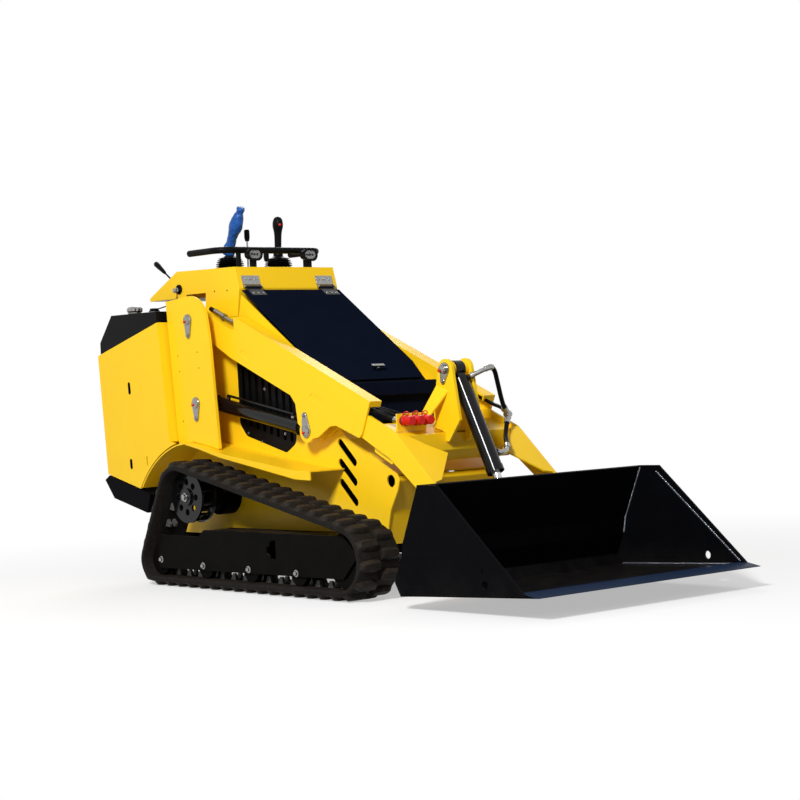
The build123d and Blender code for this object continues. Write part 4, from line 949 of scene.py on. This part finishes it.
# %% Lines through a route, and sleeves on them
def spline_points(name, route):
    """Points along a smooth spline that has the route's corners as its control points."""
    curve = bpy.data.curves.new(name, "CURVE")
    curve.dimensions = "3D"
    curve.resolution_u = 14
    spline = curve.splines.new("NURBS")
    spline.points.add(len(route) - 1)
    for point, place in zip(spline.points, route):
        point.co = (*place, 1)
    spline.order_u = 3
    spline.use_endpoint_u = True
    holder = link(name, curve)
    mesh = bpy.data.meshes.new_from_object(holder)
    points = [vertex.co.copy() for vertex in mesh.vertices]
    bpy.data.objects.remove(holder)
    return points


def corners(*rows):
    return [at(*row) for row in rows]


def stretch(points, start, end):
    """The part of a line between two distances in metres, or from the far end where they are negative."""
    lengths = [0.0]
    for before, after in zip(points, points[1:]):
        lengths.append(lengths[-1] + (after - before).length)
    total = lengths[-1]
    start, end = (value + total if value < 0 else value for value in (start, end))

    def on(distance):
        for index in range(len(points) - 1):
            if distance <= lengths[index + 1] or index == len(points) - 2:
                share = (distance - lengths[index]) / max(lengths[index + 1] - lengths[index], 1e-9)
                return points[index].lerp(points[index + 1], share)

    inner = [point for point, length in zip(points, lengths) if start + 1e-4 < length < end - 1e-4]
    return [on(start), *inner, on(end)]


def run(name, lines, radius, body, slot, replaced=None, sides=20):
    """One piece from lines of points; each line is a tube."""
    points, edges = [], []
    for line_points in lines:
        start = len(points)
        points += line_points
        edges += [(start + index, start + index + 1) for index in range(len(line_points) - 1)]
    mesh = bpy.data.meshes.new(name)
    mesh.from_pydata(points, edges, [])
    piece = grow(name, mesh, pipe, finishes[slot], Radius=radius, Sides=sides)
    return settle(piece, body, slot, replaced=replaced)


def hose_set(name, body, hoses, radius, sleeves, replaced=None):
    """Hoses of one size, with plated sleeves of their own radii on given stretches."""
    run(name, hoses, radius, body, "black_plastic", replaced)
    for index, (sleeve_radius, lines) in enumerate(sleeves):
        run(f"{name}_sleeves_{index}", lines, sleeve_radius, body, "pin_steel", replaced)
    print(name, "hoses", len(hoses), "sleeves", sum(len(lines) for _, lines in sleeves))


# %% Hoses to the couplers
coupler_rows = [(-282, -225), (-263, -181), (-244, -137)]     # a hose's side at its start and its end
coupler_lines = []
for start, middle in coupler_rows:
    route = corners((1470, start, 688), (1550, start, 664), (1606, start + 0.35 * (middle - start), 646),
                    (1650, middle, 612), (1683.7, middle, 612))
    coupler_lines.append(spline_points(f"coupler_line_{-middle}", route))
hose_set("coupler_hose_runs", "boom", coupler_lines, 0.008,
         [(0.0105, [stretch(points, -0.034, -0.008) for points in coupler_lines]),
          (0.0125, [stretch(points, -0.008, -0.0002) for points in coupler_lines])], "coupler_hoses")

# %% The couplers, and their caps with loops
collar_profile = [(0, 0), (13, 0), (13, 5), (11, 6), (11, 9), (13.5, 10), (13.5, 16), (0, 16)]
cover_profile = [(0, 16), (18, 16), (19, 18), (19, 24), (16.5, 26), (15.5, 30), (16.5, 32), (17, 52),
                 (15, 56), (0, 56)]
band_profile = [(0, 1), (16, 1), (16, 4), (0, 4)]
round_turn = [math.tau * step / 24 for step in range(25)]
collars, covers, lanyards = [], [], []
for _, middle in coupler_rows:
    seat = at(1690.3, middle, 612)
    collars.append(turned(collar_profile, seat, FORWARD))
    covers += [turned(cover_profile, seat, FORWARD), turned(band_profile, seat, FORWARD)]
    loop_middle = seat + Vector((14, 4, 22)) * mm
    lanyards.append([loop_middle + Vector((14 * math.cos(a), 5 * math.sin(a), 9 * math.sin(a))) * mm
                     for a in round_turn])
merge("coupler_collars", collars, "boom", "pin_steel", replaced="coupler_caps")
merge("coupler_covers", covers, "boom", "coupler_red", replaced="coupler_caps")
run("coupler_lanyards", lanyards, 0.0022, "boom", "coupler_red", sides=10)
print("couplers", len(collars))

# %% The lines of the hoses to the bucket's cylinder
tilt_start = at(1732, 0, 786)
tilt_axis = (at(1985, 0, 285) - tilt_start).normalized()
upper_out, lower_out = Vector((0.559, 0.716, 0.419)), Vector((0, 1, 0))
upper_port = tilt_start + tilt_axis * 0.050 + upper_out * 0.040
lower_port = tilt_start + tilt_axis * 0.337 + lower_out * 0.040
upper_route = [upper_port, *corners((1806, 66, 780), (1818, 104, 792), (1792, 146, 724), (1758, 200, 640),
                                    (1748, 228, 620))]
lower_route = [*corners((1748, 228, 602), (1762, 206, 566), (1791, 172, 532), (1840, 135, 504),
                        (1884, 84, 485)), lower_port]
pipe_route = corners((1470, 262, 720), (1625, 262, 654), (1700, 246, 640), (1744, 232, 622))
upper_line, lower_line, pipe_line = (spline_points(name, route) for name, route in (
    ("upper_line", upper_route), ("lower_line", lower_route), ("pipe_line", pipe_route)))

# %% The hoses to the bucket's cylinder, and their joint
hose_set("tilt_hose_runs", "boom", [upper_line, lower_line], 0.0085,
         [(0.0092, [stretch(upper_line, 0.0, 0.058), stretch(lower_line, -0.085, -0.0002)]),
          (0.0112, [stretch(upper_line, 0.058, 0.088), stretch(upper_line, -0.034, -0.001),
                    stretch(lower_line, 0.001, 0.024), stretch(lower_line, -0.118, -0.085)]),
          (0.013, [stretch(upper_line, 0.001, 0.010), stretch(lower_line, -0.011, -0.001)])], "tilt_hoses")
hose_set("arm_pipe_run", "boom", [pipe_line], 0.007,
         [(0.0105, [stretch(pipe_line, -0.03, -0.001)])], "tilt_hoses")
joint = [turned([(0, -16), (12.5, -16), (12.5, 16), (0, 16)], at(1748, 230, 611), UPWARD, 6),
         turned([(0, -14), (10, -14), (10, 14), (0, 14)], at(1748, 230, 614), LEFTWARD, 24)]
merge("hose_joint", joint, "boom", "pin_steel", replaced="tilt_hoses", radius=0.001)

# %% Fittings in the arms' rear notches
notch_lines = []
for side in SIDES.values():
    across = side * 276
    route = corners((636, across, 1062), (680, across, 1044), (728, across, 1021), (776, across, 1001),
                    (816, across, 998))
    notch_lines.append(spline_points(f"notch_line_{side}", route))
hose_set("notch_hoses", "boom", [stretch(points, 0.0, 0.1) for points in notch_lines], 0.009,
         [(0.0125, [stretch(points, 0.032, 0.085) for points in notch_lines]),
          (0.0150, [stretch(points, 0.085, 0.100) for points in notch_lines]),
          (0.0100, [stretch(points, 0.100, 0.160) for points in notch_lines]),
          (0.0150, [stretch(points, 0.160, -0.001) for points in notch_lines])])

# %% Fittings beside the drive motors
motor_lines = []
for side in SIDES.values():
    for lower, start in ((0, 330), (34, 322)):
        rows = [(712, start, 398), (748, start, 402), (778, start - 18, 392), (790, 270, 378),
                (792, 241, 376)]
        route = corners(*((station, side * across, height - lower) for station, across, height in rows))
        motor_lines.append(spline_points(f"motor_line_{side}_{lower}", route))
hose_set("motor_hoses", "chassis", motor_lines, 0.008,
         [(0.0105, [stretch(points, 0.002, 0.034) for points in motor_lines]),
          (0.0105, [stretch(points, -0.04, -0.004) for points in motor_lines])])

# %% [markdown]
# ## Weld beads
# The bucket and the arms are welded. A bead is a row of small overlapping drops, each a little
# different, which is what the scatter tree's jitter is for. The paint over it sparkles.

# %% Weld beads
drop_profile = [(0, -0.6), (0.8, -0.3), (1, 0.1), (0.7, 0.55), (0, 0.75)]
drop_mesh = source_mesh("drop", [lathe(drop_profile, sides=9)], 80)
weld_black = finish("black over weld", (0.16, 0.17, 0.20), 0.22, coarse=420, bump=0.9, depth=0.001, tint=0.9,
                    metal=0.75)


def bead_rows(start, end, out, size=0.0036):
    """Drops along a straight seam."""
    span = end - start
    count = max(2, round(span.length / (size * 0.95)))
    along, sizes = span.normalized(), (size, size * 1.1, size * 0.8)
    return [(start + span * (index + 0.5) / count, out, along, sizes) for index in range(count)]


black_rows, yellow_rows = [], []
for side in SIDES.values():
    inner = side * 524
    inwards = Vector((0, -side, 0))
    corner = (inwards + Vector((0.9, 0, 0.3))).normalized()
    black_rows += bead_rows(at(2022, inner, 172), at(2032, inner, 226), corner)
    black_rows += bead_rows(at(2032, inner, 226), at(2112, inner, 406), corner)
    black_rows += bead_rows(at(2012, inner, 58), at(2530, inner, 78), (inwards + UPWARD).normalized())
    black_rows += bead_rows(at(2188, inner, 392), at(2556, inner, 88), inwards)
    for face, out in ((side * 53.2, side), (side * 39.8, -side)):
        upwards = Vector((0, out, 1)).normalized()
        yellow_rows += bead_rows(at(1662, face, 584), at(1722, face, 566), upwards)
set_out("bucket_welds", black_rows, drop_mesh, "bucket", "gloss_black", weld_black, jitter=0.25, seed=11)
set_out("bracket_welds", yellow_rows, drop_mesh, "boom", "machine_yellow", jitter=0.25, seed=12)
print("weld drops", len(black_rows) + len(yellow_rows))

# %% [markdown]
# ## Cutting edge and hood seal
# The bucket's lip is a separate strip of hard steel; a thin bluish sheet on its top is a painted
# reflection. A rubber seal fills the gap between the hood and the front cover. Each is one section
# pulled straight across the machine, so a list of corners is enough.

# %% The strip of painted reflection on the cutting edge, and the seal under the hood's front edge
def crossbar(section, reach):
    """A bar of one section of stations and heights, from side to side."""
    return prism([at(station, -reach, height) for station, height in section],
                 [at(station, reach, height) for station, height in section])


# painted reflection: a bluish colour on the lip's top stands for the reflection that it shows
edge_reflection_blue = finish("painted cutting edge reflection", (0.008, 0.018, 0.045), 0.3, bump=0.05, specular=0.012)
edge_top = [(2542, 82.3), (2580, 84.3), (2640, 73.6), (2640, 74.2), (2580, 84.9), (2542, 82.9)]
seal = [(1296, 640), (1308, 640), (1308, 752), (1302, 762), (1296, 764)]
merge("cutting_edge_strip", [crossbar(edge_top, 530)], "bucket", "gloss_black", edge_reflection_blue)
merge("hood_seal", [crossbar(seal, 226)], "chassis", "black_plastic")

# %% [markdown]
# ## Nuts on the lift cylinders
# A lift cylinder takes its oil through a nut near either end. Both nuts ride on the barrel, which
# turns by itself when the boom rises, so each side is a piece of its own.

# %% The nuts on the lift cylinders
for name, side in SIDES.items():
    start, end = at(632, side * 274.5, 698), at(1243, side * 274.5, 583)
    axis = (end - start).normalized()
    upwards = Vector((-axis.z, 0, axis.x))
    roots = [start + axis * distance * mm + upwards * 27 * mm for distance in (90, 500)]
    nuts = [turned([(0, 0), (9, 0), (9, 7), (0, 7)], root, upwards, 6) for root in roots]
    merge("cylinder_nuts_" + name, nuts, "lift_barrel_" + name, "pin_steel")

# %% [markdown]
# ## Camera, light and floor
# The camera stands low and far off, in front of the machine's right corner. One large lamp stands
# for the sun, high between the camera and the right side, and a dim world fills the shadows.
# The camera and mirror-like surfaces see the room as white, while the light stays at a plain level.

# %% The camera
lens_mm, sensor_mm = 89.0, 36.0
heading, tilt, roll = (math.radians(angle) for angle in (49.5, -0.63, -2.47))
eye = Vector((5.625, -4.72, 0.761))
forward = Vector((-math.sin(heading) * math.cos(tilt), math.cos(heading) * math.cos(tilt), math.sin(tilt)))
level = Vector((math.cos(heading), math.sin(heading), 0))
upright = level.cross(forward)
right = level * math.cos(roll) + upright * math.sin(roll)
top = upright * math.cos(roll) - level * math.sin(roll)
camera = link("camera", bpy.data.cameras.new("camera"))
camera.data.lens = lens_mm
camera.data.sensor_width = sensor_mm
camera.matrix_world = Matrix.Translation(eye) @ Matrix((right, top, -forward)).transposed().to_4x4()
bpy.context.scene.camera = camera
print("camera", round(eye.length, 2), "m from the middle")


# %% The lights
def disk_light(name, spot, size, power):
    light = bpy.data.lights.new(name, "AREA")
    light.shape = "DISK"
    light.size = size
    light.energy = power
    holder = link(name, light)
    aim = Vector((0, 0, 0.6)) - Vector(spot)
    holder.location = spot
    holder.rotation_euler = aim.to_track_quat("-Z", "Y").to_euler()


disk_light("key", (3.3, -5.9, 4.9), 1.6, 690)
disk_light("back", (-5.0, 3.5, 4.5), 3.0, 150)
print("lights", len(bpy.data.lights))

# %% The world
world = bpy.data.worlds.new("world")
bpy.context.scene.world = world
world.use_nodes = True
sky = world.node_tree
sky.nodes.clear()


def seen_directly(tree):
    """1 for camera, glossy and transmission rays, and 0 for the light that reaches the object."""
    path = add(tree, "ShaderNodeLightPath").outputs
    either = add(tree, "ShaderNodeMath", {0: path["Is Camera Ray"], 1: path["Is Glossy Ray"]},
                 operation="MAXIMUM")
    return add(tree, "ShaderNodeMath", {0: either, 1: path["Is Transmission Ray"]}, operation="MAXIMUM")


dim = add(sky, "ShaderNodeBackground", {"Color": (1, 1, 1, 1), "Strength": 0.24})
bright = add(sky, "ShaderNodeBackground", {"Color": (1, 1, 1, 1), "Strength": 1.0})
choose = add(sky, "ShaderNodeMixShader", {0: seen_directly(sky), 1: dim, 2: bright})
add(sky, "ShaderNodeOutputWorld", {"Surface": choose})

# %% The floor
reach = 30.0
floor_corners = [(-reach, -reach, 0), (reach, -reach, 0), (reach, reach, 0), (-reach, reach, 0)]
floor_mesh = bpy.data.meshes.new("floor")
floor_mesh.from_pydata(floor_corners, [], [(0, 1, 2, 3)])
floor = link("floor", floor_mesh)
paper = bpy.data.materials.new("floor paper")
paper.use_nodes = True
tree = paper.node_tree
matte = tree.nodes["Principled BSDF"]
fill(matte, {"Base Color": (0.55, 0.55, 0.55, 1), "Roughness": 0.9, "Specular IOR Level": 0.0})
shaded = add(tree, "ShaderNodeBsdfDiffuse", {"Color": (0.93, 0.93, 0.93, 1)})
glow = add(tree, "ShaderNodeEmission", {"Color": (1, 1, 1, 1), "Strength": 1.0})
spread = add(tree, "ShaderNodeTexCoord")
distance = add(tree, "ShaderNodeVectorMath", {0: spread.outputs["Object"]}, operation="LENGTH")
far = add(tree, "ShaderNodeMapRange", {"Value": distance.outputs["Value"], "From Min": 1.2, "From Max": 3.2,
                                       "To Min": 0.45, "To Max": 1.0})
seen_floor = add(tree, "ShaderNodeMixShader", {0: far, 1: shaded, 2: glow})
blend = add(tree, "ShaderNodeMixShader", {0: seen_directly(tree), 1: matte, 2: seen_floor})
fill(tree.nodes["Material Output"], {"Surface": blend})
floor_mesh.materials.append(paper)
bpy.context.scene.view_settings.view_transform = "Standard"
